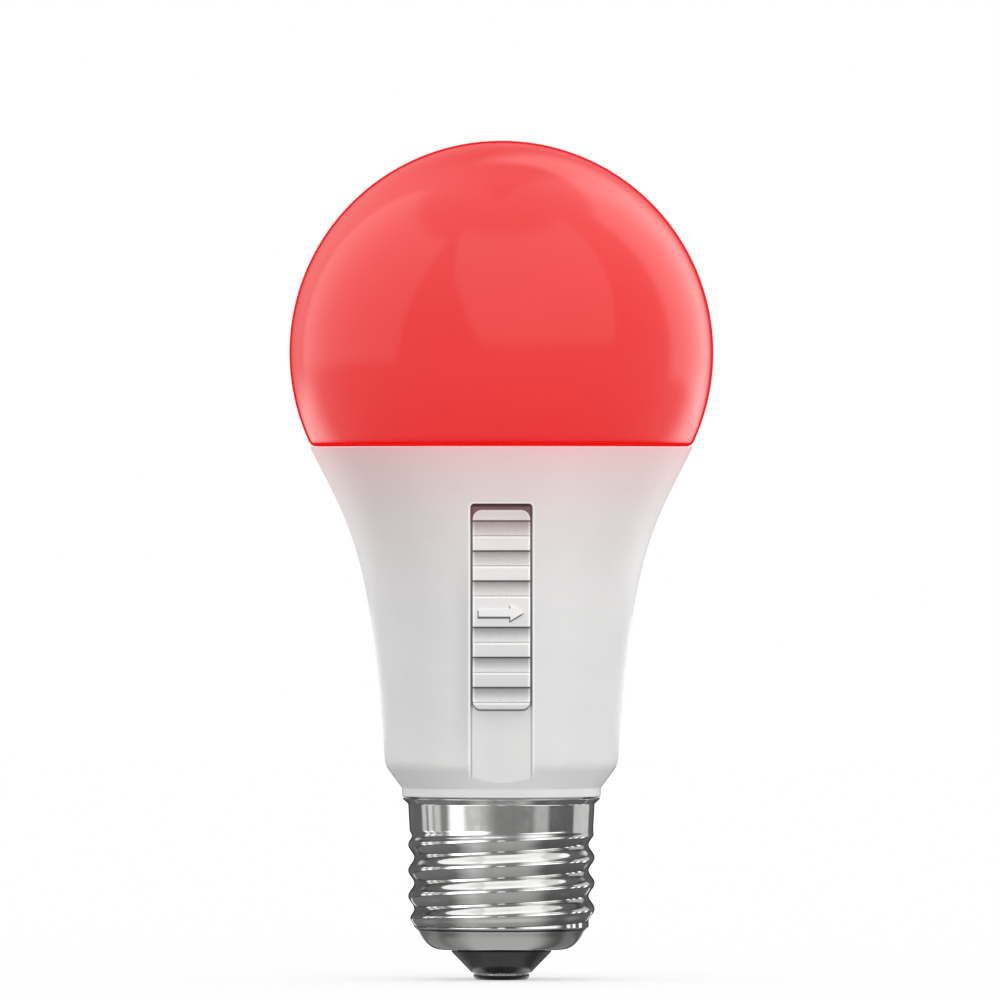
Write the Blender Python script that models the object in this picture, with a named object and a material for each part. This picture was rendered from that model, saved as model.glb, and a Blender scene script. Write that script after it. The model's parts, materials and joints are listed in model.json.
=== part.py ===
"""A red LED safelight lamp: a diffuser dome on a white housing with a slide switch and an Edison screw base.

Metres, +Z up along the lamp's axis, the slide switch facing -Y, and the origin on the centre contact's face.
Depth means distance from the axis towards the switch, so a depth of d lies at y = -d.
"""

import math

import bmesh
import bpy
import numpy as np
from mathutils import Matrix, Vector

# Clearances
SEAT_GAP = 0.0002
FIT_GAP = 0.0003
CUT_MARGIN = 0.002

# Facets
BODY_SEGMENTS = 48
SHELL_SEGMENTS = 40
SMALL_SEGMENTS = 24
THREAD_ROWS_PER_TURN = 7
FLARE_STEPS = 12
DOME_STEPS = 14
DOME_INSIDE_STEPS = 8
CORNER_STEPS = 3
WIRE_STEPS = 5
SHARP_ANGLE = math.radians(32.0)
MERGE_DISTANCE = 1e-7

# Centre contact and its rivet
CONTACT_RADIUS = 0.0042
CONTACT_THICKNESS = 0.0008
CONTACT_EDGE = 0.0006
RIVET_RADIUS = 0.0014
RIVET_STANDOUT = 0.0005

# Insulator cone
INSULATOR_TIP_RADIUS = 0.00435
INSULATOR_TOP_RADIUS = 0.00715
INSULATOR_CONE_HEIGHT = 0.0031
INSULATOR_SHOULDER = 0.00075
INSULATOR_FLANGE_HEIGHT = 0.0014
INSULATOR_FLANGE_INSET = 0.0006

# Screw shell
THREAD_RADIUS = 0.01315
THREAD_DEPTH = 0.00085
THREAD_PITCH = 0.003629
THREAD_LENGTH = 0.01345
THREAD_FADE = 0.0018
SHELL_WALL = 0.00045
SHELL_COLLAR_HEIGHT = 0.00375
SHELL_FLANGE_HEIGHT = 0.00105
SHELL_FLANGE_LIP = 0.00075
BOWL_HEIGHT = 0.0027
BOWL_STEP_HEIGHT = 0.00045
BOWL_STEP = 0.00055
BOWL_CORNER_INSET = 0.00185
BOWL_FLAT_INSET = 0.0037

# Housing
HOUSING_HEIGHT = 0.04935
HOUSING_WALL = 0.0016
HOUSING_LIP_RADIUS = 0.0140
HOUSING_LIP_HEIGHT = 0.0012
HOUSING_FOOT_HEIGHT = 0.0045
HOUSING_FLOOR = 0.0022
WAIST_RADIUS = 0.01652
WAIST_EASE = 0.0009
WAIST_SLOPE = 0.07
WAIST_REACH = 0.029
RIM_RADIUS = 0.02705
RIM_SLOPE = 0.51
RIM_REACH = 0.012
NECK_LENGTH = 0.0167
NECK_WALL = 0.0018

# Dome and its seal
DOME_RADIUS = 0.0300
DOME_WALL = 0.0012
DOME_RIM_STEP = 0.00013
DOME_RIM_ROUND = 0.00065
DOME_RIM_THICKNESS = 0.0014
SKIRT_INSET = 0.00345
SKIRT_WALL = 0.0010
SKIRT_DEPTH = 0.0036
SEAL_WIDTH = 0.0011
SEAL_HEIGHT = 0.00065
SEAL_GROOVE_DEPTH = 0.00095

# Heat sink and LED board
SINK_INSET = 0.0006
SINK_HEIGHT = 0.0030
SINK_THICKNESS = 0.0012
SINK_RIM_WALL = 0.0012
LEDGE_DROP = 0.00235
LEDGE_WIDTH = 0.0014
LED_BOARD_INSET = 0.0005
LED_BOARD_THICKNESS = 0.0012
LED_COUNT = 8
LED_EDGE = 0.0065
LED_LENGTH = 0.0035
LED_WIDTH = 0.0028
LED_HEIGHT = 0.0007
LED_RIM = 0.0004
LED_RECESS = 0.00015
SCREW_COUNT = 3
SCREW_CIRCLE = 0.0090
SCREW_RADIUS = 0.0011
SCREW_HEAD_RADIUS = 0.0020
SCREW_HEAD_HEIGHT = 0.0012
SCREW_HEAD_CROWN = 0.0004
SCREW_TIP = 0.0006
SCREW_SLOT_WIDTH = 0.0005
SCREW_SLOT_DEPTH = 0.0006

# Switch channel in the housing
CHANNEL_WIDTH = 0.00878
CHANNEL_DEPTH = 0.00182
CHANNEL_WALL = 0.0015
CHANNEL_CORNER = 0.0006
CHANNEL_ROOF_DROP = 0.00035

# Slide button
SLIDER_TRAVEL = 0.0080
SLIDER_LENGTH = 0.02833
SLIDER_END_GAP = 0.00088
SLIDER_SIDE_GAP = 0.00035
SLIDER_PLATE = 0.0012
SLIDER_RIDGE = 0.0007
SLIDER_CORNER = 0.0013
SLIDER_END_BAND = 0.00133
SLIDER_CENTRE_BAND = 0.00427
SLIDER_BANDS_PER_SIDE = 5
ARROW_LENGTH = 0.0064
ARROW_SHAFT = 0.0011
ARROW_HEAD_LENGTH = 0.00195
ARROW_HEAD_WIDTH = 0.0023
ARROW_HEIGHT = 0.00025
JOIN_OVERLAP = 0.0004
STEM_WIDTH = 0.0044
STEM_LENGTH = 0.0080
BARB_REACH = 0.0010
BARB_THICKNESS = 0.0010
POCKET_ROOF = 0.0008

# Slide switch on the driver board
SWITCH_GAP = 0.0019
CAN_DEPTH = 0.0031
CAN_WIDTH = 0.0070
CAN_WALL = 0.0004
SWITCH_BASE_THICKNESS = 0.0009
LEVER_WIDTH = 0.0020
LEVER_LENGTH = 0.0030
LEVER_FOOT_WIDTH = 0.0050
LEVER_FOOT_LENGTH = 0.0050
LEVER_FOOT_THICKNESS = 0.0010
WIPER_WIDTH = 0.0036
WIPER_LENGTH = 0.0040
WIPER_THICKNESS = 0.0004
WIPER_BEND = 0.0003
TERMINAL_ROWS = 3
TERMINAL_PITCH = 0.0040
TERMINAL_SPREAD = 0.0044
TERMINAL_WIDTH = 0.0008
TERMINAL_THICKNESS = 0.0004

# Driver board and its parts
BOARD_THICKNESS = 0.0012
BOARD_TOP_GAP = 0.0015
BOARD_TAIL = 0.0160
PART_SPACING = 0.0020
FUSE_RADIUS = 0.0015
FUSE_LENGTH = 0.0090
FUSE_WAIST = 0.0003
FUSE_CAP = 0.0018
CAPACITOR_RADIUS = 0.0040
CAPACITOR_LENGTH = 0.0120
CAPACITOR_ROUND = 0.0006
CAPACITOR_GROOVE = 0.0003
CAPACITOR_GROOVE_HEIGHT = 0.0018
INDUCTOR_RADIUS = 0.0045
INDUCTOR_HEIGHT = 0.0090
INDUCTOR_FLANGE = 0.0012
INDUCTOR_CORE_RADIUS = 0.0020
INDUCTOR_WINDING_INSET = 0.0004
FILM_WIDTH = 0.0100
FILM_THICKNESS = 0.0045
FILM_HEIGHT = 0.0090
FILM_ROUND = 0.0006
CHIP_SPREAD = 0.0080
CHIP_EDGE = 0.00015
IC_WIDTH = 0.0039
IC_LENGTH = 0.0049
IC_HEIGHT = 0.0015
BRIDGE_WIDTH = 0.0038
BRIDGE_LENGTH = 0.0047
BRIDGE_HEIGHT = 0.0025
HEADER_PINS = 4
HEADER_PITCH = 0.00254
HEADER_DEPTH = 0.0025
HEADER_HEIGHT = 0.0025
PIN_SIZE = 0.00064
PIN_TAIL = 0.0006

# Leads to the base
WIRE_RADIUS = 0.0005
WIRE_LAP = 0.0030
WIRE_SPREAD = 0.0040

# Heights along the axis
INSULATOR_BOTTOM = CONTACT_THICKNESS + SEAT_GAP
INSULATOR_CONE_TOP = INSULATOR_BOTTOM + INSULATOR_CONE_HEIGHT
SHELL_BOTTOM = INSULATOR_CONE_TOP + SEAT_GAP
INSULATOR_FLANGE_BOTTOM = SHELL_BOTTOM + SHELL_WALL + SEAT_GAP
INSULATOR_TOP = INSULATOR_FLANGE_BOTTOM + INSULATOR_FLANGE_HEIGHT
RIVET_TOP = INSULATOR_TOP + RIVET_STANDOUT
BOWL_TOP = SHELL_BOTTOM + BOWL_HEIGHT
THREAD_BOTTOM = BOWL_TOP + BOWL_STEP_HEIGHT
THREAD_TOP = THREAD_BOTTOM + THREAD_LENGTH
COLLAR_TOP = THREAD_TOP + SHELL_COLLAR_HEIGHT
SHELL_TOP = COLLAR_TOP + SHELL_FLANGE_HEIGHT
HOUSING_BOTTOM = SHELL_TOP + SEAT_GAP
NECK_BOTTOM = HOUSING_BOTTOM - NECK_LENGTH
LIP_TOP = HOUSING_BOTTOM + HOUSING_LIP_HEIGHT
FOOT_TOP = HOUSING_BOTTOM + HOUSING_FOOT_HEIGHT
WAIST_HEIGHT = FOOT_TOP + WAIST_EASE
FLOOR_HEIGHT = HOUSING_BOTTOM + HOUSING_FLOOR
HOUSING_TOP = HOUSING_BOTTOM + HOUSING_HEIGHT
DOME_BOTTOM = HOUSING_TOP + SEAT_GAP
SKIRT_BOTTOM = DOME_BOTTOM - SKIRT_DEPTH
MOUTH_FLOOR = SKIRT_BOTTOM - FIT_GAP
LEDGE_HEIGHT = MOUTH_FLOOR - LEDGE_DROP
SINK_BOTTOM = LEDGE_HEIGHT + SEAT_GAP
SINK_TOP = SINK_BOTTOM + SINK_HEIGHT
SINK_PLATE_BOTTOM = SINK_TOP - SINK_THICKNESS
LED_BOARD_BOTTOM = SINK_TOP + SEAT_GAP
LED_BOARD_TOP = LED_BOARD_BOTTOM + LED_BOARD_THICKNESS
CHANNEL_BLOCK_TOP = LEDGE_HEIGHT - CHANNEL_ROOF_DROP
CHANNEL_TOP = CHANNEL_BLOCK_TOP - CHANNEL_WALL
SLIDER_TOP = CHANNEL_TOP - SLIDER_END_GAP
SLIDER_BOTTOM = SLIDER_TOP - SLIDER_LENGTH
SLIDER_CENTRE = (SLIDER_TOP + SLIDER_BOTTOM) / 2
SWITCH_CENTRE = SLIDER_CENTRE - SLIDER_TRAVEL / 2
BOARD_SHOULDER = FLOOR_HEIGHT + FIT_GAP
BOARD_BOTTOM = BOARD_SHOULDER - BOARD_TAIL
BOARD_TOP = SINK_PLATE_BOTTOM - BOARD_TOP_GAP

# Radii about the axis
THREAD_ROOT = THREAD_RADIUS - THREAD_DEPTH
SHELL_BORE = THREAD_ROOT - SHELL_WALL
SHELL_MOUTH = INSULATOR_TOP_RADIUS - INSULATOR_SHOULDER
NECK_RADIUS = SHELL_BORE - FIT_GAP
NECK_BORE = NECK_RADIUS - NECK_WALL
FLOOR_RADIUS = HOUSING_LIP_RADIUS - HOUSING_WALL
SKIRT_RADIUS = RIM_RADIUS - SKIRT_INSET
MOUTH_RADIUS = SKIRT_RADIUS + FIT_GAP
SEAL_GROOVE_RADIUS = MOUTH_RADIUS + SEAL_WIDTH + FIT_GAP
SINK_RADIUS = SKIRT_RADIUS - SKIRT_WALL - SINK_INSET
LEDGE_RADIUS = SINK_RADIUS - LEDGE_WIDTH
LED_BOARD_RADIUS = SINK_RADIUS - LED_BOARD_INSET
LED_RING = LED_BOARD_RADIUS - LED_EDGE
DOME_RIM_RADIUS = RIM_RADIUS - DOME_RIM_STEP
DOME_DROP = math.sqrt(DOME_RADIUS**2 - DOME_RIM_RADIUS**2)
DOME_CENTRE = DOME_BOTTOM + DOME_DROP

# Depths towards the switch
CHANNEL_FLOOR = WAIST_RADIUS - CHANNEL_DEPTH
CHANNEL_BACK = CHANNEL_FLOOR - CHANNEL_WALL
SLIDER_BACK = CHANNEL_FLOOR + FIT_GAP
SLIDER_GROOVE = SLIDER_BACK + SLIDER_PLATE
SLIDER_FRONT = SLIDER_GROOVE + SLIDER_RIDGE
BARB_FRONT = CHANNEL_BACK - FIT_GAP
STEM_END = BARB_FRONT - BARB_THICKNESS
CAN_FRONT = STEM_END - SWITCH_GAP
CAN_BACK = CAN_FRONT - CAN_DEPTH
SWITCH_BASE_FRONT = CAN_BACK - SEAT_GAP
SWITCH_BASE_BACK = SWITCH_BASE_FRONT - SWITCH_BASE_THICKNESS
BOARD_FRONT = SWITCH_BASE_BACK - SEAT_GAP
BOARD_BACK = BOARD_FRONT - BOARD_THICKNESS
LEVER_FOOT_FRONT = CAN_FRONT - CAN_WALL - FIT_GAP
LEVER_FOOT_BACK = LEVER_FOOT_FRONT - LEVER_FOOT_THICKNESS
POCKET_FLOOR = SLIDER_BACK - POCKET_ROOF
LEVER_TIP = POCKET_FLOOR - FIT_GAP
HEADER_BACK = BOARD_FRONT + SEAT_GAP
HEADER_CENTRE = HEADER_BACK + HEADER_DEPTH / 2

# Widths and lengths that follow from the fits
SLIDER_WIDTH = CHANNEL_WIDTH - 2 * SLIDER_SIDE_GAP
SLIDER_STEP = (SLIDER_LENGTH - SLIDER_CENTRE_BAND - 2 * SLIDER_END_BAND) / (2 * SLIDER_BANDS_PER_SIDE)
SLOT_WIDTH = STEM_WIDTH + 2 * FIT_GAP
BARB_WIDTH = SLOT_WIDTH + 2 * BARB_REACH
CAN_LENGTH = SLIDER_TRAVEL + LEVER_FOOT_LENGTH + 2 * FIT_GAP + 2 * CAN_WALL
BOARD_HALF_WIDTH = math.sqrt((FLOOR_RADIUS - FIT_GAP) ** 2 - BOARD_FRONT**2)
TAIL_HALF_WIDTH = math.sqrt((NECK_BORE - FIT_GAP) ** 2 - BOARD_FRONT**2)


def clear_scene():
    for item in list(bpy.data.objects):
        bpy.data.objects.remove(item, do_unlink=True)


def finish(name, colour, roughness, metallic=0.0):
    material = bpy.data.materials.new(name)
    material.use_nodes = True
    shader = material.node_tree.nodes["Principled BSDF"]
    shader.inputs["Base Color"].default_value = (*colour, 1.0)
    shader.inputs["Roughness"].default_value = roughness
    shader.inputs["Metallic"].default_value = metallic
    return material


def place(name, data, material=None, parent=None):
    """Link a mesh or curve into the scene under its parent, keeping its points in world coordinates."""
    piece = bpy.data.objects.new(name, data)
    bpy.context.scene.collection.objects.link(piece)
    if material:
        data.materials.append(material)
    if parent:
        piece.parent = parent
        data.transform(Matrix.Translation(-parent.location))
    return piece


def as_mesh(name, shape, smooth=True):
    bmesh.ops.recalc_face_normals(shape, faces=shape.faces)
    mesh = bpy.data.meshes.new(name)
    shape.to_mesh(mesh)
    shape.free()
    if smooth:
        mesh.shade_smooth()
        mesh.set_sharp_from_angle(angle=SHARP_ANGLE)
    return mesh


def turned(name, profile, segments):
    """Spin (radius, height) points round the axis. The outline is open only where both ends lie on the axis."""
    shape = bmesh.new()
    points = [shape.verts.new((radius, 0.0, height)) for radius, height in profile]
    edges = [shape.edges.new(pair) for pair in zip(points, points[1:])]
    if profile[0][0] > 0.0:
        edges.append(shape.edges.new((points[-1], points[0])))
    bmesh.ops.spin(
        shape, geom=points + edges, axis=(0, 0, 1), cent=(0, 0, 0), angle=2 * math.pi, steps=segments
    )
    bmesh.ops.remove_doubles(shape, verts=shape.verts, dist=MERGE_DISTANCE)
    return as_mesh(name, shape)


def prism(name, outline, back, front):
    """Extrude an outline of (x, z) points towards the switch, from one depth to another."""
    shape = bmesh.new()
    points = [shape.verts.new((x, -back, z)) for x, z in outline]
    face = shape.faces.new(points)
    grown = bmesh.ops.extrude_face_region(shape, geom=[face])
    moved = [item for item in grown["geom"] if isinstance(item, bmesh.types.BMVert)]
    bmesh.ops.translate(shape, verts=moved, vec=(0.0, back - front, 0.0))
    return as_mesh(name, shape, smooth=False)


def add_block(shape, low, high):
    middle = [(a + b) / 2 for a, b in zip(low, high)]
    size = [b - a for a, b in zip(low, high)]
    bmesh.ops.create_cube(shape, size=1.0, matrix=Matrix.Translation(middle) @ Matrix.Diagonal((*size, 1.0)))


def blocks(name, corners):
    """Boxes given by their lowest and highest corners, as one mesh."""
    shape = bmesh.new()
    for low, high in corners:
        add_block(shape, low, high)
    return as_mesh(name, shape, smooth=False)


def facing_block(name, half_width, back, front, bottom, top, middle=0.0):
    """A box about x = middle, between two depths and two heights."""
    return blocks(name, [((middle - half_width, -front, bottom), (middle + half_width, -back, top))])


def cutter(name, mesh):
    tool = place(name, mesh)
    tool.hide_render = True
    tool.display_type = "WIRE"
    return tool


def combine(piece, tool, operation):
    modifier = piece.modifiers.new(tool.name, "BOOLEAN")
    modifier.operation = operation
    modifier.solver = "EXACT"
    modifier.object = tool


def ease_edges(piece, width, segments):
    modifier = piece.modifiers.new("edges", "BEVEL")
    modifier.width = width
    modifier.segments = segments


def curve_points(start, handle_a, handle_b, end, steps):
    """Points on a cubic curve, both ends included."""
    corners = [np.array(point) for point in (start, handle_a, handle_b, end)]
    points = []
    for share in np.linspace(0.0, 1.0, steps + 1):
        rest = 1.0 - share
        weights = (rest**3, 3 * rest**2 * share, 3 * rest * share**2, share**3)
        points.append(tuple(float(v) for v in sum(w * p for w, p in zip(weights, corners))))
    return points


def corner_points(start, corner, end, steps):
    """Points on a curve that leaves start towards a corner and arrives at end from it."""
    start, corner, end = (np.array(point) for point in (start, corner, end))
    pull = 2.0 / 3.0
    return curve_points(start, start + pull * (corner - start), end + pull * (corner - end), end, steps)


def arc_points(centre, radius, first, last, steps):
    angles = np.linspace(first, last, steps + 1)
    return [(centre[0] + radius * math.cos(a), centre[1] + radius * math.sin(a)) for a in angles]


def rounded_outline(half_width, bottom, top, radius, round_bottom=True):
    """A rectangle of (x, z) points with rounded upper corners and, where asked, rounded lower ones."""
    left = radius - half_width
    right = half_width - radius
    quarter = math.pi / 2
    points = arc_points((right, top - radius), radius, 0.0, quarter, CORNER_STEPS)
    points += arc_points((left, top - radius), radius, quarter, 2 * quarter, CORNER_STEPS)
    if not round_bottom:
        return points + [(-half_width, bottom), (half_width, bottom)]
    points += arc_points((left, bottom + radius), radius, 2 * quarter, 3 * quarter, CORNER_STEPS)
    points += arc_points((right, bottom + radius), radius, 3 * quarter, 4 * quarter, CORNER_STEPS)
    return points


def smooth_route(points, steps):
    """A smooth curve through hand-chosen points, sampled a few times between each pair."""
    points = [Vector(point) for point in points]
    padded = [2 * points[0] - points[1], *points, 2 * points[-1] - points[-2]]
    route = []
    for before, start, end, after in zip(padded, padded[1:], padded[2:], padded[3:]):
        for index in range(steps):
            t = index / steps
            bend = (2 * before - 5 * start + 4 * end - after) * t**2
            turn = (3 * (start - end) + after - before) * t**3
            route.append(start + ((end - before) * t + bend + turn) / 2)
    return [*route, points[-1]]


def build_contact(parent):
    profile = [(0.0, 0.0)]
    profile += arc_points(
        (CONTACT_RADIUS - CONTACT_EDGE, CONTACT_EDGE), CONTACT_EDGE, -math.pi / 2, 0.0, CORNER_STEPS
    )
    profile += [(CONTACT_RADIUS, CONTACT_THICKNESS), (RIVET_RADIUS, CONTACT_THICKNESS)]
    profile += [(RIVET_RADIUS, RIVET_TOP), (0.0, RIVET_TOP)]
    material = finish("dark_plating", (0.06, 0.06, 0.065), 0.25, 1.0)
    place("centre_contact", turned("centre_contact", profile, SMALL_SEGMENTS), material, parent)


def build_insulator(parent):
    bore = RIVET_RADIUS + FIT_GAP
    neck = SHELL_MOUTH - FIT_GAP
    flange = THREAD_ROOT - BOWL_FLAT_INSET - INSULATOR_FLANGE_INSET
    profile = [
        (bore, INSULATOR_BOTTOM),
        (INSULATOR_TIP_RADIUS, INSULATOR_BOTTOM),
        (INSULATOR_TOP_RADIUS, INSULATOR_CONE_TOP),
        (neck, INSULATOR_CONE_TOP),
        (neck, INSULATOR_FLANGE_BOTTOM),
        (flange, INSULATOR_FLANGE_BOTTOM),
        (flange, INSULATOR_TOP),
        (bore, INSULATOR_TOP),
    ]
    material = finish("black_insulator", (0.012, 0.012, 0.013), 0.2)
    place("base_insulator", turned("base_insulator", profile, SHELL_SEGMENTS), material, parent)


def ease(share):
    share = min(max(share, 0.0), 1.0)
    return share * share * (3.0 - 2.0 * share)


def thread_radius(angle, height):
    """Radius of the rounded right-hand screw thread, fading to the collar above and to the root below."""
    phase = (height - THREAD_TOP) / THREAD_PITCH - angle / (2 * math.pi)
    groove = 0.5 - 0.5 * math.cos(2 * math.pi * phase)
    radius = THREAD_RADIUS - THREAD_DEPTH * groove * ease((THREAD_TOP - height) / THREAD_FADE)
    run_out = ease((THREAD_BOTTOM + THREAD_FADE - height) / THREAD_FADE)
    return radius + (THREAD_ROOT - radius) * run_out


def bowl_points(wall, bottom):
    """The rounded lower end of the screw shell, inside or outside, from its flat up to the thread."""
    top = (THREAD_ROOT - BOWL_STEP - wall, BOWL_TOP)
    corner = (THREAD_ROOT - BOWL_CORNER_INSET - wall, bottom)
    flat = (THREAD_ROOT - BOWL_FLAT_INSET, bottom)
    return corner_points(flat, corner, top, CORNER_STEPS + 1)


def build_shell(parent):
    rows = round(THREAD_ROWS_PER_TURN * THREAD_LENGTH / THREAD_PITCH)
    profile = [(SHELL_MOUTH, SHELL_BOTTOM)]
    profile += bowl_points(0.0, SHELL_BOTTOM)
    profile += [(THREAD_RADIUS, height) for height in np.linspace(THREAD_BOTTOM, THREAD_TOP, rows + 1)]
    profile += [(THREAD_RADIUS, COLLAR_TOP), (THREAD_RADIUS + SHELL_FLANGE_LIP, SHELL_TOP)]
    profile += [(SHELL_BORE, SHELL_TOP), (SHELL_BORE, THREAD_BOTTOM)]
    profile += reversed(bowl_points(SHELL_WALL, SHELL_BOTTOM + SHELL_WALL))
    profile += [(SHELL_MOUTH, SHELL_BOTTOM + SHELL_WALL)]
    mesh = turned("base_shell", profile, SHELL_SEGMENTS)
    middle_of_wall = (SHELL_BORE + THREAD_ROOT) / 2
    for vertex in mesh.vertices:
        x, y, height = vertex.co
        in_thread = THREAD_BOTTOM - MERGE_DISTANCE < height < THREAD_TOP + MERGE_DISTANCE
        if in_thread and math.hypot(x, y) > middle_of_wall:
            angle = math.atan2(y, x)
            radius = thread_radius(angle, height)
            vertex.co = (radius * math.cos(angle), radius * math.sin(angle), height)
    place("base_shell", mesh, finish("nickel_plate", (0.72, 0.70, 0.67), 0.2, 1.0), parent)


def flare_points():
    """The housing's outer side from its waist up to the rim."""
    waist = np.array((WAIST_RADIUS, WAIST_HEIGHT))
    rim = np.array((RIM_RADIUS, HOUSING_TOP))
    low = waist + WAIST_REACH * np.array((WAIST_SLOPE, 1.0))
    high = rim - RIM_REACH * np.array((RIM_SLOPE, 1.0))
    return curve_points(waist, low, high, rim, FLARE_STEPS)


def housing_profile():
    """The housing's outside with the neck that goes into the screw shell."""
    knee = np.array((WAIST_RADIUS - WAIST_SLOPE * WAIST_EASE, FOOT_TOP))
    lip = np.array((HOUSING_LIP_RADIUS, LIP_TOP))
    below = knee + WAIST_EASE * (lip - knee) / np.linalg.norm(lip - knee)
    profile = [(0.0, NECK_BOTTOM), (NECK_RADIUS, NECK_BOTTOM), (NECK_RADIUS, HOUSING_BOTTOM)]
    profile += [(HOUSING_LIP_RADIUS, HOUSING_BOTTOM), tuple(lip)]
    profile += corner_points(below, knee, (WAIST_RADIUS, WAIST_HEIGHT), CORNER_STEPS)
    profile += flare_points()[1:]
    return [*profile, (0.0, HOUSING_TOP)]


def cavity_profile():
    """The housing's inside: neck bore, floor, side wall, ledge for the heat sink, mouth and seal groove."""
    profile = [(0.0, NECK_BOTTOM - CUT_MARGIN), (NECK_BORE, NECK_BOTTOM - CUT_MARGIN)]
    profile += [(NECK_BORE, FLOOR_HEIGHT), (FLOOR_RADIUS, FLOOR_HEIGHT)]
    wall = [(radius - HOUSING_WALL, height) for radius, height in flare_points()]
    profile += [point for point in wall if point[0] < LEDGE_RADIUS]
    meeting = np.interp(LEDGE_RADIUS, [point[0] for point in wall], [point[1] for point in wall])
    profile += [(LEDGE_RADIUS, float(meeting)), (LEDGE_RADIUS, LEDGE_HEIGHT)]
    seat = SINK_RADIUS + FIT_GAP
    groove_floor = HOUSING_TOP - SEAL_GROOVE_DEPTH
    profile += [(seat, LEDGE_HEIGHT), (seat, MOUTH_FLOOR), (MOUTH_RADIUS, MOUTH_FLOOR)]
    profile += [(MOUTH_RADIUS, groove_floor), (SEAL_GROOVE_RADIUS, groove_floor)]
    return [*profile, (SEAL_GROOVE_RADIUS, HOUSING_TOP + CUT_MARGIN), (0.0, HOUSING_TOP + CUT_MARGIN)]


def build_housing(parent):
    material = finish("white_plastic", (0.80, 0.80, 0.79), 0.42)
    housing = place("housing", turned("housing", housing_profile(), BODY_SEGMENTS), material, parent)
    beyond = RIM_RADIUS + CUT_MARGIN
    block_half = CHANNEL_WIDTH / 2 + CHANNEL_WALL
    block = cutter(
        "channel_backing",
        facing_block("channel_backing", block_half, CHANNEL_BACK, beyond, HOUSING_BOTTOM, CHANNEL_BLOCK_TOP),
    )
    cavity = cutter("cavity", turned("cavity", cavity_profile(), BODY_SEGMENTS))
    combine(cavity, block, "DIFFERENCE")
    combine(housing, cavity, "DIFFERENCE")
    outline = rounded_outline(CHANNEL_WIDTH / 2, HOUSING_BOTTOM, CHANNEL_TOP, CHANNEL_CORNER, False)
    combine(housing, cutter("channel", prism("channel", outline, CHANNEL_FLOOR, beyond)), "DIFFERENCE")
    slot_top = SLIDER_CENTRE + STEM_LENGTH / 2 + FIT_GAP
    slot_bottom = SLIDER_CENTRE - STEM_LENGTH / 2 - SLIDER_TRAVEL - FIT_GAP
    slot = facing_block(
        "stem_slot",
        SLOT_WIDTH / 2,
        CHANNEL_BACK - CUT_MARGIN,
        CHANNEL_FLOOR + CUT_MARGIN,
        slot_bottom,
        slot_top,
    )
    combine(housing, cutter("stem_slot", slot), "DIFFERENCE")


def build_dome(parent):
    """The globe: outside with a rounded rim, inside, a flange, and a skirt that drops into the housing."""
    rounding = DOME_RIM_ROUND
    round_radius = math.sqrt((DOME_RADIUS - rounding) ** 2 - (DOME_DROP - rounding) ** 2)
    round_end = math.atan2(rounding - DOME_DROP, round_radius)
    flange_top = DOME_BOTTOM + DOME_RIM_THICKNESS
    inside = DOME_RADIUS - DOME_WALL
    inside_start = math.asin((flange_top - DOME_CENTRE) / inside)
    skirt_inside = SKIRT_RADIUS - SKIRT_WALL
    profile = arc_points((0.0, DOME_CENTRE), inside, math.pi / 2, inside_start, DOME_INSIDE_STEPS)
    profile[0] = (0.0, DOME_CENTRE + inside)
    profile += [(skirt_inside, flange_top), (skirt_inside, SKIRT_BOTTOM)]
    profile += [(SKIRT_RADIUS, SKIRT_BOTTOM), (SKIRT_RADIUS, DOME_BOTTOM)]
    rim = (round_radius, DOME_BOTTOM + rounding)
    profile += arc_points(rim, rounding, -math.pi / 2, round_end, CORNER_STEPS)
    profile += arc_points((0.0, DOME_CENTRE), DOME_RADIUS, round_end, math.pi / 2, DOME_STEPS)[1:]
    profile[-1] = (0.0, DOME_CENTRE + DOME_RADIUS)
    material = finish("red_diffuser", (0.80, 0.035, 0.04), 0.22)
    place("diffuser_dome", turned("diffuser_dome", profile, BODY_SEGMENTS), material, parent)


def ring(inner, outer, bottom, top):
    return [(inner, bottom), (outer, bottom), (outer, top), (inner, top)]


def disc(radius, bottom, top):
    return [(0.0, bottom), (radius, bottom), (radius, top), (0.0, top)]


def build_seal(parent):
    bottom = HOUSING_TOP - SEAL_GROOVE_DEPTH + SEAT_GAP
    profile = ring(MOUTH_RADIUS, MOUTH_RADIUS + SEAL_WIDTH, bottom, bottom + SEAL_HEIGHT)
    material = finish("clear_silicone", (0.75, 0.75, 0.73), 0.5)
    place("dome_seal_ring", turned("dome_seal_ring", profile, BODY_SEGMENTS), material, parent)


def screw_places():
    """The LED board's screws, one at the back and the others either side of the header."""
    angles = [math.pi / 2 + 2 * math.pi * index / SCREW_COUNT for index in range(SCREW_COUNT)]
    return [Vector((SCREW_CIRCLE * math.cos(a), SCREW_CIRCLE * math.sin(a), 0.0)) for a in angles]


def board_holes():
    """One tool that cuts the screw holes and the header's slot through the LED board and the heat sink."""
    bottom = SINK_PLATE_BOTTOM - CUT_MARGIN
    top = LED_BOARD_TOP + CUT_MARGIN
    shape = bmesh.new()
    half_x = (HEADER_PINS - 1) * HEADER_PITCH / 2 + PIN_SIZE / 2 + FIT_GAP
    half_y = PIN_SIZE / 2 + FIT_GAP
    add_block(shape, (-half_x, -HEADER_CENTRE - half_y, bottom), (half_x, -HEADER_CENTRE + half_y, top))
    for spot in screw_places():
        middle = Matrix.Translation((spot.x, spot.y, (bottom + top) / 2))
        hole = SCREW_RADIUS + FIT_GAP
        bmesh.ops.create_cone(
            shape,
            cap_ends=True,
            segments=SMALL_SEGMENTS,
            radius1=hole,
            radius2=hole,
            depth=top - bottom,
            matrix=middle,
        )
    return cutter("board_holes", as_mesh("board_holes", shape))


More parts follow.
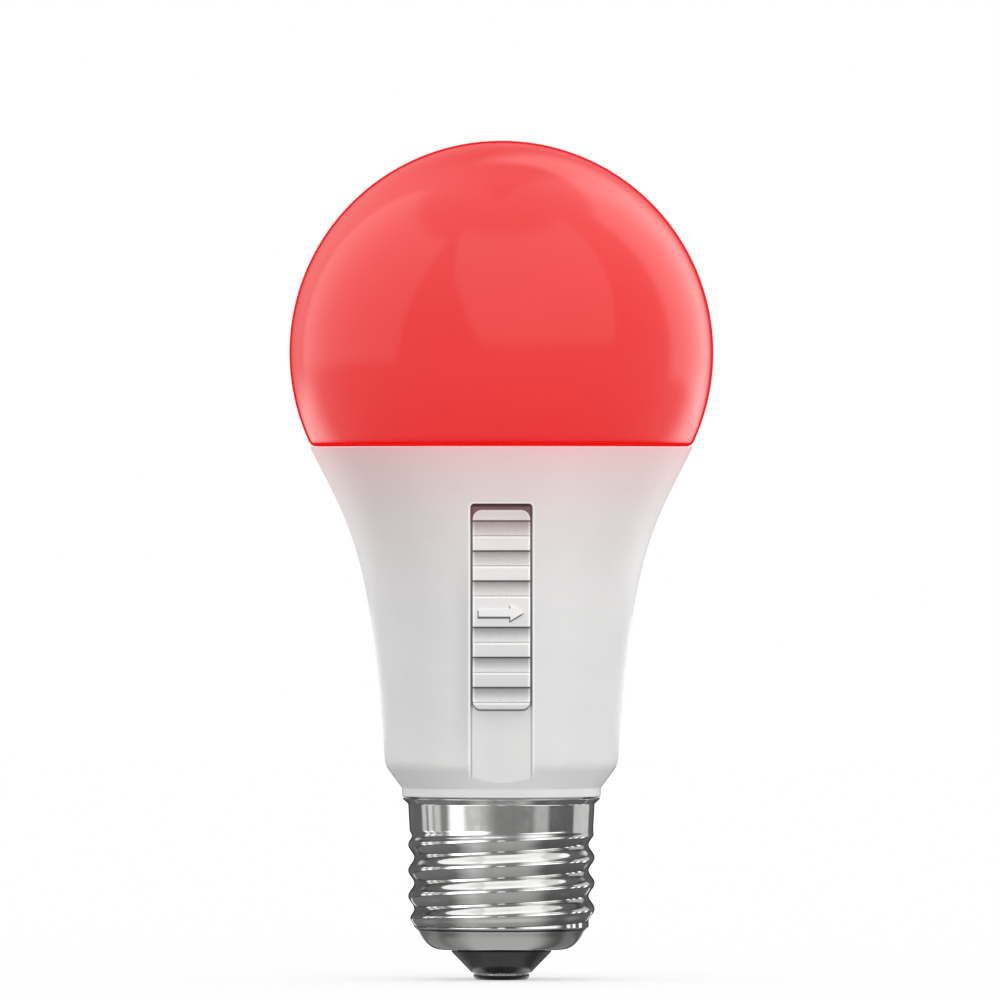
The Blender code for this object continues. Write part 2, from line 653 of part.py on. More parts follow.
def build_led_plate(parent):
    """The heat sink dish and the LED board that is screwed to it."""
    holes = board_holes()
    rim_inside = SINK_RADIUS - SINK_RIM_WALL
    dish = [(0.0, SINK_PLATE_BOTTOM), (rim_inside, SINK_PLATE_BOTTOM), (rim_inside, SINK_BOTTOM)]
    dish += [(SINK_RADIUS, SINK_BOTTOM), (SINK_RADIUS, SINK_TOP), (0.0, SINK_TOP)]
    aluminium = finish("pressed_aluminium", (0.70, 0.71, 0.72), 0.4, 1.0)
    sink = place("heat_sink", turned("heat_sink", dish, BODY_SEGMENTS), aluminium, parent)
    combine(sink, holes, "DIFFERENCE")
    profile = disc(LED_BOARD_RADIUS, LED_BOARD_BOTTOM, LED_BOARD_TOP)
    mask = finish("white_solder_mask", (0.82, 0.82, 0.80), 0.4)
    board = place("led_board", turned("led_board", profile, BODY_SEGMENTS), mask, parent)
    combine(board, holes, "DIFFERENCE")


def led_mesh(name):
    shape = bmesh.new()
    add_block(shape, (-LED_WIDTH / 2, -LED_LENGTH / 2, 0.0), (LED_WIDTH / 2, LED_LENGTH / 2, LED_HEIGHT))
    window = max(shape.faces, key=lambda face: face.calc_center_median().z)
    bmesh.ops.inset_region(shape, faces=[window], thickness=LED_RIM, depth=-LED_RECESS)
    return as_mesh(name, shape, smooth=False)


def build_leds(parent):
    material = finish("red_led", (0.75, 0.10, 0.08), 0.3)
    for index in range(LED_COUNT):
        name = f"red_led_{index + 1}"
        angle = 2 * math.pi * (index + 0.5) / LED_COUNT
        led = place(name, led_mesh(name), material, parent)
        led.location = (LED_RING * math.cos(angle), LED_RING * math.sin(angle), LED_BOARD_TOP + SEAT_GAP)
        led.rotation_euler = (0.0, 0.0, angle)


def build_screws(parent):
    material = finish("zinc_screw", (0.60, 0.60, 0.58), 0.3, 1.0)
    seat = LED_BOARD_TOP + SEAT_GAP
    tip = SINK_PLATE_BOTTOM - SCREW_TIP - seat
    crown = SCREW_HEAD_HEIGHT - SCREW_HEAD_CROWN
    profile = [(0.0, tip), (SCREW_RADIUS, tip), (SCREW_RADIUS, 0.0), (SCREW_HEAD_RADIUS, 0.0)]
    profile += [(SCREW_HEAD_RADIUS, crown), (SCREW_HEAD_RADIUS - SCREW_HEAD_CROWN, SCREW_HEAD_HEIGHT)]
    profile += [(0.0, SCREW_HEAD_HEIGHT)]
    reach = SCREW_HEAD_RADIUS + CUT_MARGIN
    slot_low = (-reach, -SCREW_SLOT_WIDTH / 2, SCREW_HEAD_HEIGHT - SCREW_SLOT_DEPTH)
    slot_high = (reach, SCREW_SLOT_WIDTH / 2, SCREW_HEAD_HEIGHT + CUT_MARGIN)
    for index, spot in enumerate(screw_places()):
        name = f"led_board_screw_{index + 1}"
        screw = place(name, turned(name, profile, SMALL_SEGMENTS // 2), material, parent)
        slot = cutter(f"{name}_slot", blocks(f"{name}_slot", [(slot_low, slot_high)]))
        screw.location = spot + Vector((0.0, 0.0, seat))
        slot.location = screw.location
        combine(screw, slot, "DIFFERENCE")


def slider_outline():
    """The button's side view in (depth, height): ridges and grooves either side of a wide centre band."""
    bands = [SLIDER_END_BAND] + [SLIDER_STEP] * SLIDER_BANDS_PER_SIDE
    bands = bands + [SLIDER_CENTRE_BAND] + bands[::-1]
    points = []
    height = SLIDER_BOTTOM
    for index, band in enumerate(bands):
        depth = SLIDER_GROOVE if index % 2 else SLIDER_FRONT
        points += [(depth, height), (depth, height + band)]
        height += band
    return [*points, (SLIDER_BACK, SLIDER_TOP), (SLIDER_BACK, SLIDER_BOTTOM)]


def ridged_plate():
    """The button's ridged plate, as wide as the button."""
    shape = bmesh.new()
    half = SLIDER_WIDTH / 2
    face = shape.faces.new([shape.verts.new((-half, -depth, height)) for depth, height in slider_outline()])
    grown = bmesh.ops.extrude_face_region(shape, geom=[face])
    moved = [item for item in grown["geom"] if isinstance(item, bmesh.types.BMVert)]
    bmesh.ops.translate(shape, verts=moved, vec=(SLIDER_WIDTH, 0.0, 0.0))
    return as_mesh("slider_button", shape, smooth=False)


def arrow_outline():
    """A plain arrow that points to +X, centred on the button."""
    tail = -ARROW_LENGTH / 2
    tip = ARROW_LENGTH / 2
    neck = tip - ARROW_HEAD_LENGTH
    shaft = ARROW_SHAFT / 2
    wing = ARROW_HEAD_WIDTH / 2
    lower = [(tail, -shaft), (neck, -shaft), (neck, -wing)]
    upper = [(neck, wing), (neck, shaft), (tail, shaft)]
    return [(x, z + SLIDER_CENTRE) for x, z in [*lower, (tip, 0.0), *upper]]


def build_slider(parent):
    """The ridged button with the snap-in stem that reaches through the channel to the switch lever."""
    material = finish("slider_plastic", (0.74, 0.74, 0.73), 0.45)
    slider = place("slider_button", ridged_plate(), material, parent)
    corners = rounded_outline(SLIDER_WIDTH / 2, SLIDER_BOTTOM, SLIDER_TOP, SLIDER_CORNER)
    envelope = prism("slider_corners", corners, SLIDER_BACK - CUT_MARGIN, SLIDER_FRONT + CUT_MARGIN)
    combine(slider, cutter("slider_corners", envelope), "INTERSECT")
    bottom = SLIDER_CENTRE - STEM_LENGTH / 2
    top = SLIDER_CENTRE + STEM_LENGTH / 2
    stem = facing_block("stem", STEM_WIDTH / 2, STEM_END, SLIDER_BACK + JOIN_OVERLAP, bottom, top)
    combine(slider, cutter("stem", stem), "UNION")
    barb_bottom = bottom + JOIN_OVERLAP
    barb_top = top - JOIN_OVERLAP
    barb_back = STEM_END + JOIN_OVERLAP / 2
    barb = facing_block("barb", BARB_WIDTH / 2, barb_back, BARB_FRONT, barb_bottom, barb_top)
    combine(slider, cutter("barb", barb), "UNION")
    arrow = prism("arrow", arrow_outline(), SLIDER_FRONT - JOIN_OVERLAP, SLIDER_FRONT + ARROW_HEIGHT)
    combine(slider, cutter("arrow", arrow), "UNION")
    pocket_half = LEVER_WIDTH / 2 + FIT_GAP
    pocket_reach = LEVER_LENGTH / 2 + FIT_GAP
    pocket = facing_block(
        "lever_pocket",
        pocket_half,
        STEM_END - CUT_MARGIN,
        POCKET_FLOOR,
        SLIDER_CENTRE - pocket_reach,
        SLIDER_CENTRE + pocket_reach,
    )
    combine(slider, cutter("lever_pocket", pocket), "DIFFERENCE")


def build_lever(parent):
    """The switch lever, with its foot inside the can, and the spring wiper behind the foot."""
    black = finish("lever_plastic", (0.02, 0.02, 0.02), 0.4)
    foot = facing_block(
        "switch_lever",
        LEVER_FOOT_WIDTH / 2,
        LEVER_FOOT_BACK,
        LEVER_FOOT_FRONT,
        SLIDER_CENTRE - LEVER_FOOT_LENGTH / 2,
        SLIDER_CENTRE + LEVER_FOOT_LENGTH / 2,
    )
    lever = place("switch_lever", foot, black, parent)
    post = facing_block(
        "lever_post",
        LEVER_WIDTH / 2,
        LEVER_FOOT_FRONT - JOIN_OVERLAP,
        LEVER_TIP,
        SLIDER_CENTRE - LEVER_LENGTH / 2,
        SLIDER_CENTRE + LEVER_LENGTH / 2,
    )
    combine(lever, cutter("lever_post", post), "UNION")
    build_wiper(parent)


def build_wiper(parent):
    """A bowed spring strip: its middle bears on the lever's foot, its ends reach back to the switch base."""
    front = LEVER_FOOT_BACK - FIT_GAP
    half = WIPER_LENGTH / 2
    outline = []
    for share in (-1.0, 0.0, 1.0):
        outline.append((front - WIPER_BEND * abs(share), SLIDER_CENTRE + share * half))
    outline += [(depth - WIPER_THICKNESS, height) for depth, height in reversed(outline)]
    shape = bmesh.new()
    face = shape.faces.new([shape.verts.new((-WIPER_WIDTH / 2, -depth, height)) for depth, height in outline])
    grown = bmesh.ops.extrude_face_region(shape, geom=[face])
    moved = [item for item in grown["geom"] if isinstance(item, bmesh.types.BMVert)]
    bmesh.ops.translate(shape, verts=moved, vec=(WIPER_WIDTH, 0.0, 0.0))
    bronze = finish("spring_bronze", (0.72, 0.48, 0.24), 0.3, 1.0)
    place("switch_wiper", as_mesh("switch_wiper", shape, smooth=False), bronze, parent)


def terminal_places():
    """(x, z) of each switch terminal, in two rows."""
    spots = []
    for side in (-1, 1):
        for row in range(TERMINAL_ROWS):
            height = SWITCH_CENTRE + (row - (TERMINAL_ROWS - 1) / 2) * TERMINAL_PITCH
            spots.append((side * TERMINAL_SPREAD / 2, height))
    return spots


def terminal_box(spot, back, front, gap):
    x, height = spot
    half_x = TERMINAL_THICKNESS / 2 + gap
    half_z = TERMINAL_WIDTH / 2 + gap
    return ((x - half_x, -front, height - half_z), (x + half_x, -back, height + half_z))


def build_switch(parent):
    """The slide switch's can, base and terminals."""
    bottom = SWITCH_CENTRE - CAN_LENGTH / 2
    top = SWITCH_CENTRE + CAN_LENGTH / 2
    steel = finish("tinned_steel", (0.66, 0.66, 0.65), 0.3, 1.0)
    shell = facing_block("switch_can", CAN_WIDTH / 2, CAN_BACK, CAN_FRONT, bottom, top)
    can = place("switch_can", shell, steel, parent)
    room = facing_block(
        "can_room",
        CAN_WIDTH / 2 - CAN_WALL,
        CAN_BACK - CUT_MARGIN,
        CAN_FRONT - CAN_WALL,
        bottom + CAN_WALL,
        top - CAN_WALL,
    )
    combine(can, cutter("can_room", room), "DIFFERENCE")
    reach = (SLIDER_TRAVEL + LEVER_LENGTH) / 2 + FIT_GAP
    slot = facing_block(
        "can_slot",
        LEVER_WIDTH / 2 + FIT_GAP,
        CAN_FRONT - CAN_WALL - CUT_MARGIN,
        CAN_FRONT + CUT_MARGIN,
        SWITCH_CENTRE - reach,
        SWITCH_CENTRE + reach,
    )
    combine(can, cutter("can_slot", slot), "DIFFERENCE")
    phenolic = finish("brown_phenolic", (0.16, 0.08, 0.04), 0.5)
    plate = facing_block("switch_base", CAN_WIDTH / 2, SWITCH_BASE_BACK, SWITCH_BASE_FRONT, bottom, top)
    base = place("switch_base", plate, phenolic, parent)
    through = BOARD_BACK - CUT_MARGIN
    holes = [terminal_box(spot, through, CAN_BACK, FIT_GAP) for spot in terminal_places()]
    tool = cutter("terminal_holes", blocks("terminal_holes", holes))
    combine(base, tool, "DIFFERENCE")
    for index, spot in enumerate(terminal_places()):
        name = f"switch_terminal_{index + 1}"
        pin = blocks(name, [terminal_box(spot, BOARD_BACK, SWITCH_BASE_FRONT, 0.0)])
        place(name, pin, steel, parent)
    return tool


def build_board(parent, holes):
    """The driver board: a body on the housing's floor and a tail down the neck."""
    outline = [(-TAIL_HALF_WIDTH, BOARD_BOTTOM), (TAIL_HALF_WIDTH, BOARD_BOTTOM)]
    outline += [(TAIL_HALF_WIDTH, BOARD_SHOULDER), (BOARD_HALF_WIDTH, BOARD_SHOULDER)]
    outline += [(BOARD_HALF_WIDTH, BOARD_TOP), (-BOARD_HALF_WIDTH, BOARD_TOP)]
    outline += [(-BOARD_HALF_WIDTH, BOARD_SHOULDER), (-TAIL_HALF_WIDTH, BOARD_SHOULDER)]
    green = finish("green_board", (0.03, 0.16, 0.06), 0.4)
    board = place("driver_board", prism("driver_board", outline, BOARD_BACK, BOARD_FRONT), green, parent)
    combine(board, holes, "DIFFERENCE")


def stand_behind(piece, height):
    """Turn a piece that was modelled upright so that it stands on the back of the driver board."""
    piece.rotation_euler = (-math.pi / 2, 0.0, 0.0)
    piece.location = (0.0, SEAT_GAP - BOARD_BACK, height)


def build_fuse(parent, height):
    """A fusible resistor that lies across the board."""
    half = FUSE_LENGTH / 2
    waist = FUSE_RADIUS - FUSE_WAIST
    profile = [(0.0, -half), (FUSE_RADIUS, -half), (FUSE_RADIUS, FUSE_CAP - half), (waist, FUSE_CAP - half)]
    profile += [(waist, half - FUSE_CAP), (FUSE_RADIUS, half - FUSE_CAP), (FUSE_RADIUS, half), (0.0, half)]
    material = finish("resistor_lacquer", (0.20, 0.32, 0.42), 0.5)
    fuse = place("fuse_resistor", turned("fuse_resistor", profile, SMALL_SEGMENTS // 2), material, parent)
    fuse.rotation_euler = (0.0, math.pi / 2, 0.0)
    fuse.location = (0.0, SEAT_GAP + FUSE_RADIUS - BOARD_BACK, height)


def build_capacitor(parent, height):
    """The smoothing capacitor: a sleeved can with a crimp groove near its foot."""
    groove_top = 2 * CAPACITOR_GROOVE_HEIGHT
    waist = CAPACITOR_RADIUS - CAPACITOR_GROOVE
    shoulder = CAPACITOR_RADIUS - CAPACITOR_ROUND
    profile = [(0.0, 0.0), (CAPACITOR_RADIUS, 0.0), (CAPACITOR_RADIUS, CAPACITOR_GROOVE_HEIGHT)]
    profile += [(waist, (CAPACITOR_GROOVE_HEIGHT + groove_top) / 2), (CAPACITOR_RADIUS, groove_top)]
    crown = CAPACITOR_LENGTH - CAPACITOR_ROUND
    profile += arc_points((shoulder, crown), CAPACITOR_ROUND, 0.0, math.pi / 2, CORNER_STEPS)
    profile += [(0.0, CAPACITOR_LENGTH)]
    material = finish("capacitor_sleeve", (0.03, 0.03, 0.05), 0.35)
    mesh = turned("smoothing_capacitor", profile, SMALL_SEGMENTS)
    stand_behind(place("smoothing_capacitor", mesh, material, parent), height)


def build_inductor(parent, height):
    """A ferrite drum and the taped winding between its flanges."""
    top = INDUCTOR_HEIGHT - INDUCTOR_FLANGE
    profile = [(0.0, 0.0), (INDUCTOR_RADIUS, 0.0), (INDUCTOR_RADIUS, INDUCTOR_FLANGE)]
    profile += [(INDUCTOR_CORE_RADIUS, INDUCTOR_FLANGE), (INDUCTOR_CORE_RADIUS, top)]
    profile += [(INDUCTOR_RADIUS, top), (INDUCTOR_RADIUS, INDUCTOR_HEIGHT), (0.0, INDUCTOR_HEIGHT)]
    ferrite = finish("ferrite", (0.05, 0.05, 0.055), 0.6)
    core = place("inductor_core", turned("inductor_core", profile, SMALL_SEGMENTS), ferrite, parent)
    stand_behind(core, height)
    inner = INDUCTOR_CORE_RADIUS + FIT_GAP
    outer = INDUCTOR_RADIUS - INDUCTOR_WINDING_INSET
    coil = ring(inner, outer, INDUCTOR_FLANGE + FIT_GAP, top - FIT_GAP)
    tape = finish("yellow_tape", (0.75, 0.52, 0.06), 0.4)
    winding = place("inductor_winding", turned("inductor_winding", coil, SMALL_SEGMENTS), tape, parent)
    stand_behind(winding, height)


def build_film_capacitor(parent, height):
    front = BOARD_BACK - SEAT_GAP
    body = facing_block(
        "film_capacitor",
        FILM_WIDTH / 2,
        front - FILM_HEIGHT,
        front,
        height - FILM_THICKNESS / 2,
        height + FILM_THICKNESS / 2,
    )
    material = finish("film_red_brown", (0.40, 0.10, 0.05), 0.35)
    ease_edges(place("film_capacitor", body, material, parent), FILM_ROUND, 2)


def build_chips(parent):
    """The bridge rectifier and the driver chip, side by side above the switch."""
    bottom = SWITCH_CENTRE + CAN_LENGTH / 2 + PART_SPACING
    back = BOARD_FRONT + SEAT_GAP
    black = finish("chip_epoxy", (0.025, 0.025, 0.027), 0.5)
    side = CHIP_SPREAD / 2
    chips = (
        ("driver_ic", IC_WIDTH, IC_LENGTH, IC_HEIGHT, side),
        ("bridge_rectifier", BRIDGE_WIDTH, BRIDGE_LENGTH, BRIDGE_HEIGHT, -side),
    )
    for name, width, length, height, middle in chips:
        body = facing_block(name, width / 2, back, back + height, bottom, bottom + length, middle)
        ease_edges(place(name, body, black, parent), CHIP_EDGE, 1)


def build_header(parent):
    """The pin header at the top of the driver board, whose pins reach through the LED board."""
    bottom = BOARD_TOP - HEADER_HEIGHT
    half_width = HEADER_PINS * HEADER_PITCH / 2
    black = finish("header_plastic", (0.02, 0.02, 0.02), 0.45)
    gold = finish("plated_pin", (0.75, 0.60, 0.28), 0.25, 1.0)
    front = HEADER_BACK + HEADER_DEPTH
    strip = facing_block("header_body", half_width, HEADER_BACK, front, bottom, BOARD_TOP)
    body = place("header_body", strip, black, parent)
    half = PIN_SIZE / 2
    hole = half + FIT_GAP
    holes = []
    for index in range(HEADER_PINS):
        x = (index - (HEADER_PINS - 1) / 2) * HEADER_PITCH
        low = (x - hole, -HEADER_CENTRE - hole, bottom - CUT_MARGIN)
        high = (x + hole, -HEADER_CENTRE + hole, BOARD_TOP + CUT_MARGIN)
        holes.append((low, high))
        name = f"header_pin_{index + 1}"
        pin_low = (x - half, -HEADER_CENTRE - half, bottom - PIN_TAIL)
        pin_high = (x + half, -HEADER_CENTRE + half, LED_BOARD_TOP + PIN_TAIL)
        place(name, blocks(name, [(pin_low, pin_high)]), gold, parent)
    combine(body, cutter("header_holes", blocks("header_holes", holes)), "DIFFERENCE")


def build_wire(name, colour, points, parent):
    """An insulated lead along a smooth route."""
    route = smooth_route(points, WIRE_STEPS)
    data = bpy.data.curves.new(name, "CURVE")
    data.dimensions = "3D"
    data.bevel_depth = WIRE_RADIUS
    data.bevel_resolution = 2
    data.use_fill_caps = True
    spline = data.splines.new("POLY")
    spline.points.add(len(route) - 1)
    for point, position in zip(spline.points, route):
        point.co = (*position, 1.0)
    place(name, data, finish(f"{name}_insulation", colour, 0.4), parent)


def build_wires(parent):
    """The leads from the rivet and from the shell's wall to the back of the board's tail."""
    board_y = SEAT_GAP + WIRE_RADIUS - BOARD_BACK
    lap_bottom = BOARD_BOTTOM + WIRE_LAP / 2
    lap_top = BOARD_BOTTOM + 2 * WIRE_LAP
    line = [
        (0.0, 0.0, RIVET_TOP + SEAT_GAP),
        (0.0002, -0.0002, RIVET_TOP + 0.0018),
        (0.0022, board_y * 0.6, BOARD_BOTTOM - 0.0006),
        (WIRE_SPREAD, board_y, lap_bottom),
        (WIRE_SPREAD, board_y, lap_top),
    ]
    under_neck = NECK_BOTTOM - FIT_GAP - 2 * WIRE_RADIUS
    neutral = [
        (FIT_GAP - SHELL_BORE, 0.0, under_neck),
        (-0.0100, -0.0001, under_neck),
        (-0.0074, -0.0010, under_neck + 0.0004),
        (-0.0056, board_y * 0.8, BOARD_BOTTOM - 0.0004),
        (-WIRE_SPREAD, board_y, lap_bottom + 0.0006),
        (-WIRE_SPREAD, board_y, lap_top),
    ]
    build_wire("line_wire", (0.02, 0.02, 0.02), line, parent)
    build_wire("neutral_wire", (0.78, 0.78, 0.76), neutral, parent)


def build_driver(parent):
    """The driver board with the switch on its front and the tall parts stacked up its back."""
    build_board(parent, build_switch(parent))
    height = BOARD_SHOULDER + PART_SPACING + FUSE_RADIUS
    build_fuse(parent, height)
    height += FUSE_RADIUS + PART_SPACING + CAPACITOR_RADIUS
    build_capacitor(parent, height)
    height += CAPACITOR_RADIUS + PART_SPACING + INDUCTOR_RADIUS
    build_inductor(parent, height)
    height += INDUCTOR_RADIUS + PART_SPACING + FILM_THICKNESS / 2
    build_film_capacitor(parent, height)
    build_chips(parent)
    build_header(parent)


def axis_empty(name, location):
    empty = bpy.data.objects.new(name, None)
    empty.location = location
    bpy.context.scene.collection.objects.link(empty)
    return empty


def main():
    clear_scene()
    lamp = axis_empty("lamp", (0.0, 0.0, 0.0))
    slide = axis_empty("slide_carriage", (0.0, -SLIDER_BACK, SLIDER_CENTRE))
    switch = axis_empty("switch_carriage", (0.0, -LEVER_FOOT_FRONT, SLIDER_CENTRE))
    build_contact(lamp)
    build_insulator(lamp)
    build_shell(lamp)
    build_housing(lamp)
    build_dome(lamp)
    build_seal(lamp)
    build_led_plate(lamp)
    build_leds(lamp)
    build_screws(lamp)
    build_slider(slide)
    build_lever(switch)
    build_driver(lamp)
    build_wires(lamp)


main()
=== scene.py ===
"""The looks of a red LED safelight lamp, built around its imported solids.

Metres, +Z up along the lamp's axis, the slide switch facing -Y. Depth means distance from the axis
towards the switch, so a depth of d lies at y = -d.
"""

import json
import math

import bmesh
import bpy
import numpy as np
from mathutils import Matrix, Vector

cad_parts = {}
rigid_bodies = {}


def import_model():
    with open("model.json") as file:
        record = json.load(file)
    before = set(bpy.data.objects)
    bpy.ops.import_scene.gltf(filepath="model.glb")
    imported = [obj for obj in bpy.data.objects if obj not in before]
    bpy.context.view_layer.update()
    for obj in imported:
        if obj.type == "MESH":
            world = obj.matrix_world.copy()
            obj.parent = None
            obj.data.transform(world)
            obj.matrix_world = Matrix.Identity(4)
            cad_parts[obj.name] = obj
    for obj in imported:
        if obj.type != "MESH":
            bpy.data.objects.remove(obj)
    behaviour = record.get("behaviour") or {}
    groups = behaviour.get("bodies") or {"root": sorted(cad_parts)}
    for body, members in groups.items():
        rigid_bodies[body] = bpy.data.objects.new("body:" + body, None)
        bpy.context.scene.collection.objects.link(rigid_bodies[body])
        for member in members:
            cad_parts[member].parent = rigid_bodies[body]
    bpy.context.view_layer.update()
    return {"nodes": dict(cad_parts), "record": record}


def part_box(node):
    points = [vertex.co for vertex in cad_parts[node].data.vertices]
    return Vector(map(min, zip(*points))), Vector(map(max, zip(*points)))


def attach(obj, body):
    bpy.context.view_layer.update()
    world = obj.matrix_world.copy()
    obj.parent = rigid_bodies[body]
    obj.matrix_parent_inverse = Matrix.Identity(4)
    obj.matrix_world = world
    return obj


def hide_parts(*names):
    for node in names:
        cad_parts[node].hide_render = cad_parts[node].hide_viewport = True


for leftover in list(bpy.data.objects):
    bpy.data.objects.remove(leftover, do_unlink=True)
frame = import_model()


def low(node):
    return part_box(node)[0]


def high(node):
    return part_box(node)[1]


# Clearances shared with the solids
SEAT_GAP = 0.0002
FIT_GAP = 0.0003
CUT_MARGIN = 0.002

# Mesh density
AROUND = 192
SHELL_AROUND = 240
ROWS_PER_TURN = 28
BACK_COLUMNS = AROUND - 3
DOME_ROWS = AROUND // 3
EDGE_STEPS = 4
KNEE_STEPS = 12
SIDE_STEPS = 160
BOWL_STEPS = 14
FOOT_ROWS = 36
SIDE_ROWS = 46
CORNER_ROWS = 9
LIP_ROWS = 7
RIM_ROWS = 12
INSIDE_ROWS = 30
EXTRA_ROWS = 4
MERGE_DISTANCE = 1e-7
SHARP_ANGLE = math.radians(38.0)

# Heights and radii read from the solids
RIVET_TOP = high("centre_contact").z
INSULATOR_BOTTOM = low("base_insulator").z
INSULATOR_TOP = high("base_insulator").z
SHELL_BOTTOM = low("base_shell").z
SHELL_TOP = high("base_shell").z
SHELL_FLANGE_RADIUS = high("base_shell").x
NECK_BOTTOM = low("housing").z
HOUSING_BOTTOM = SHELL_TOP + SEAT_GAP
HOUSING_TOP = high("housing").z
RIM_RADIUS = high("housing").x
SKIRT_BOTTOM = low("diffuser_dome").z
DOME_TOP = high("diffuser_dome").z
DOME_RADIUS = high("diffuser_dome").x
DOME_CENTRE = DOME_TOP - DOME_RADIUS
DOME_BOTTOM = HOUSING_TOP + SEAT_GAP
SLIDER_BOTTOM = low("slider_button").z
SLIDER_TOP = high("slider_button").z
SLIDER_CENTRE = (SLIDER_BOTTOM + SLIDER_TOP) / 2
SLIDER_HALF = high("slider_button").x
STEM_END = -high("slider_button").y

# Contact and insulator
CONTACT_INSET = 0.0003
CONTACT_RADIUS = high("centre_contact").x - CONTACT_INSET
CONTACT_THICKNESS = 0.0008
CONTACT_EDGE = 0.0006
RIVET_RADIUS = 0.0014
INSULATOR_TIP_RADIUS = 0.00415
INSULATOR_TOP_RADIUS = 0.00715
INSULATOR_CONE_TOP = SHELL_BOTTOM - SEAT_GAP
INSULATOR_NECK = 0.0061
INSULATOR_FLANGE = 0.0080
INSULATOR_FLANGE_BOTTOM = 0.00495
INSULATOR_EDGE = 0.00025

# Screw shell
THREAD_RADIUS = 0.01315
THREAD_DEPTH = 0.00085
THREAD_PITCH = 0.003629
THREAD_BOTTOM = 0.00745
THREAD_TOP = 0.0209
THREAD_FADE = 0.0018
COLLAR_FADE = 0.0013
THREAD_ROOT = THREAD_RADIUS - THREAD_DEPTH
COLLAR_BOTTOM = 0.0212
COLLAR_TOP = 0.0249
COLLAR_TAPER = 0.0002
SHELL_WALL = 0.00045
SHELL_BORE = THREAD_ROOT - SHELL_WALL
SHELL_MOUTH = 0.0064
BOWL_TOP = 0.0070
BOWL_STEP = 0.00055
BOWL_CORNER_INSET = 0.00185
BOWL_FLAT_INSET = 0.0037
FLANGE_EDGE = 0.00012

# Housing
HOUSING_WALL = 0.0016
LIP_RADIUS = 0.0140
LIP_HEIGHT = 0.0012
LIP_TOP = HOUSING_BOTTOM + LIP_HEIGHT
LIP_EDGE = 0.0002
FOOT_HEIGHT = 0.0045
FOOT_TOP = HOUSING_BOTTOM + FOOT_HEIGHT
WAIST_RADIUS = 0.01652
WAIST_EASE = 0.0009
WAIST_SLOPE = 0.07
WAIST_REACH = 0.029
WAIST_HEIGHT = FOOT_TOP + WAIST_EASE
RIM_SLOPE = 0.51
RIM_REACH = 0.012
RIM_BEAD = 0.00015
FLOOR_THICKNESS = 0.0022
FLOOR_HEIGHT = HOUSING_BOTTOM + FLOOR_THICKNESS
FLOOR_RADIUS = LIP_RADIUS - HOUSING_WALL
NECK_RADIUS = SHELL_BORE - FIT_GAP
NECK_WALL = 0.0018
NECK_BORE = NECK_RADIUS - NECK_WALL

# Dome skirt and the housing's mouth round it
SKIRT_INSET = 0.00345
SKIRT_RADIUS = RIM_RADIUS - SKIRT_INSET
SKIRT_WALL = 0.0010
DOME_WALL = 0.0012
DOME_RIM_ROUND = 0.0011
DOME_RIM_THICKNESS = 0.0014
MOUTH_RADIUS = SKIRT_RADIUS + FIT_GAP
MOUTH_FLOOR = SKIRT_BOTTOM - FIT_GAP
SEAL_GROOVE_RADIUS = high("dome_seal_ring").x + FIT_GAP
SEAL_GROOVE_FLOOR = low("dome_seal_ring").z - SEAT_GAP
SINK_SEAT = high("heat_sink").x + FIT_GAP
LEDGE_HEIGHT = low("heat_sink").z - SEAT_GAP
LEDGE_WIDTH = 0.0014
LEDGE_RADIUS = high("heat_sink").x - LEDGE_WIDTH

# Switch channel
CHANNEL_GAP = 0.00035
CHANNEL_HALF = SLIDER_HALF + CHANNEL_GAP
CHANNEL_DEPTH = 0.00182
CHANNEL_FLOOR = WAIST_RADIUS - CHANNEL_DEPTH
CHANNEL_WALL = 0.0015
CHANNEL_BACK = CHANNEL_FLOOR - CHANNEL_WALL
CHANNEL_HEADROOM = 0.00088
CHANNEL_TOP = SLIDER_TOP + CHANNEL_HEADROOM
CHANNEL_CORNER = 0.0006
CHANNEL_LIP = 0.00022
CHANNEL_END = 0.0284
BACKING_HALF = CHANNEL_HALF + CHANNEL_WALL
BACKING_TOP = CHANNEL_TOP + CHANNEL_WALL
LIP_STEPS = 5
WALL_STEPS = 3
CHANNEL_COLUMNS = 8

# Slide button
SLIDER_TRAVEL = 0.0080
SLIDER_BACK = CHANNEL_FLOOR + FIT_GAP
SLIDER_THICKNESS = 0.0019
SLIDER_FRONT = SLIDER_BACK + SLIDER_THICKNESS
SLIDER_CORNER = 0.0013
SLIDER_FOOT_CORNER = 0.0017
SLIDER_BACK_CORNER = 0.0011
SLIDER_TOP_BAND = 0.00148
SLIDER_BOTTOM_BAND = 0.00118
SLIDER_CENTRE_BAND = 0.00427
SLIDER_SIDE = (SLIDER_TOP - SLIDER_BOTTOM - SLIDER_TOP_BAND - SLIDER_BOTTOM_BAND - SLIDER_CENTRE_BAND) / 2
RIDGE_HEIGHT = 0.00198
GROOVE_HEIGHT = (SLIDER_SIDE - 2 * RIDGE_HEIGHT) / 3
GROOVE_PERIOD = GROOVE_HEIGHT + RIDGE_HEIGHT
LOWER_GROOVES = SLIDER_BOTTOM + SLIDER_BOTTOM_BAND
UPPER_GROOVES = LOWER_GROOVES + SLIDER_SIDE + SLIDER_CENTRE_BAND
SLIDER_SIDE_EDGE = 0.00022
SLIDER_END_EDGE = 0.0002
SLIDER_END_DRAFT = 0.00022
RIDGE_EDGE = 0.00010
CREASE_DEPTH = 0.00034
CREASE_HEIGHT = 0.00012
SCOOP_EDGE = 0.00016
SCOOP_DEPTH = 0.00080
SCOOP_STEPS = 12
UNDERCUT_DEPTH = 0.00145
UNDERCUT_HEIGHT = 0.00022
SLIDER_COLUMNS = 10
ARROW_LENGTH = 0.0064
ARROW_SHAFT = 0.00116
ARROW_HEAD_LENGTH = 0.00195
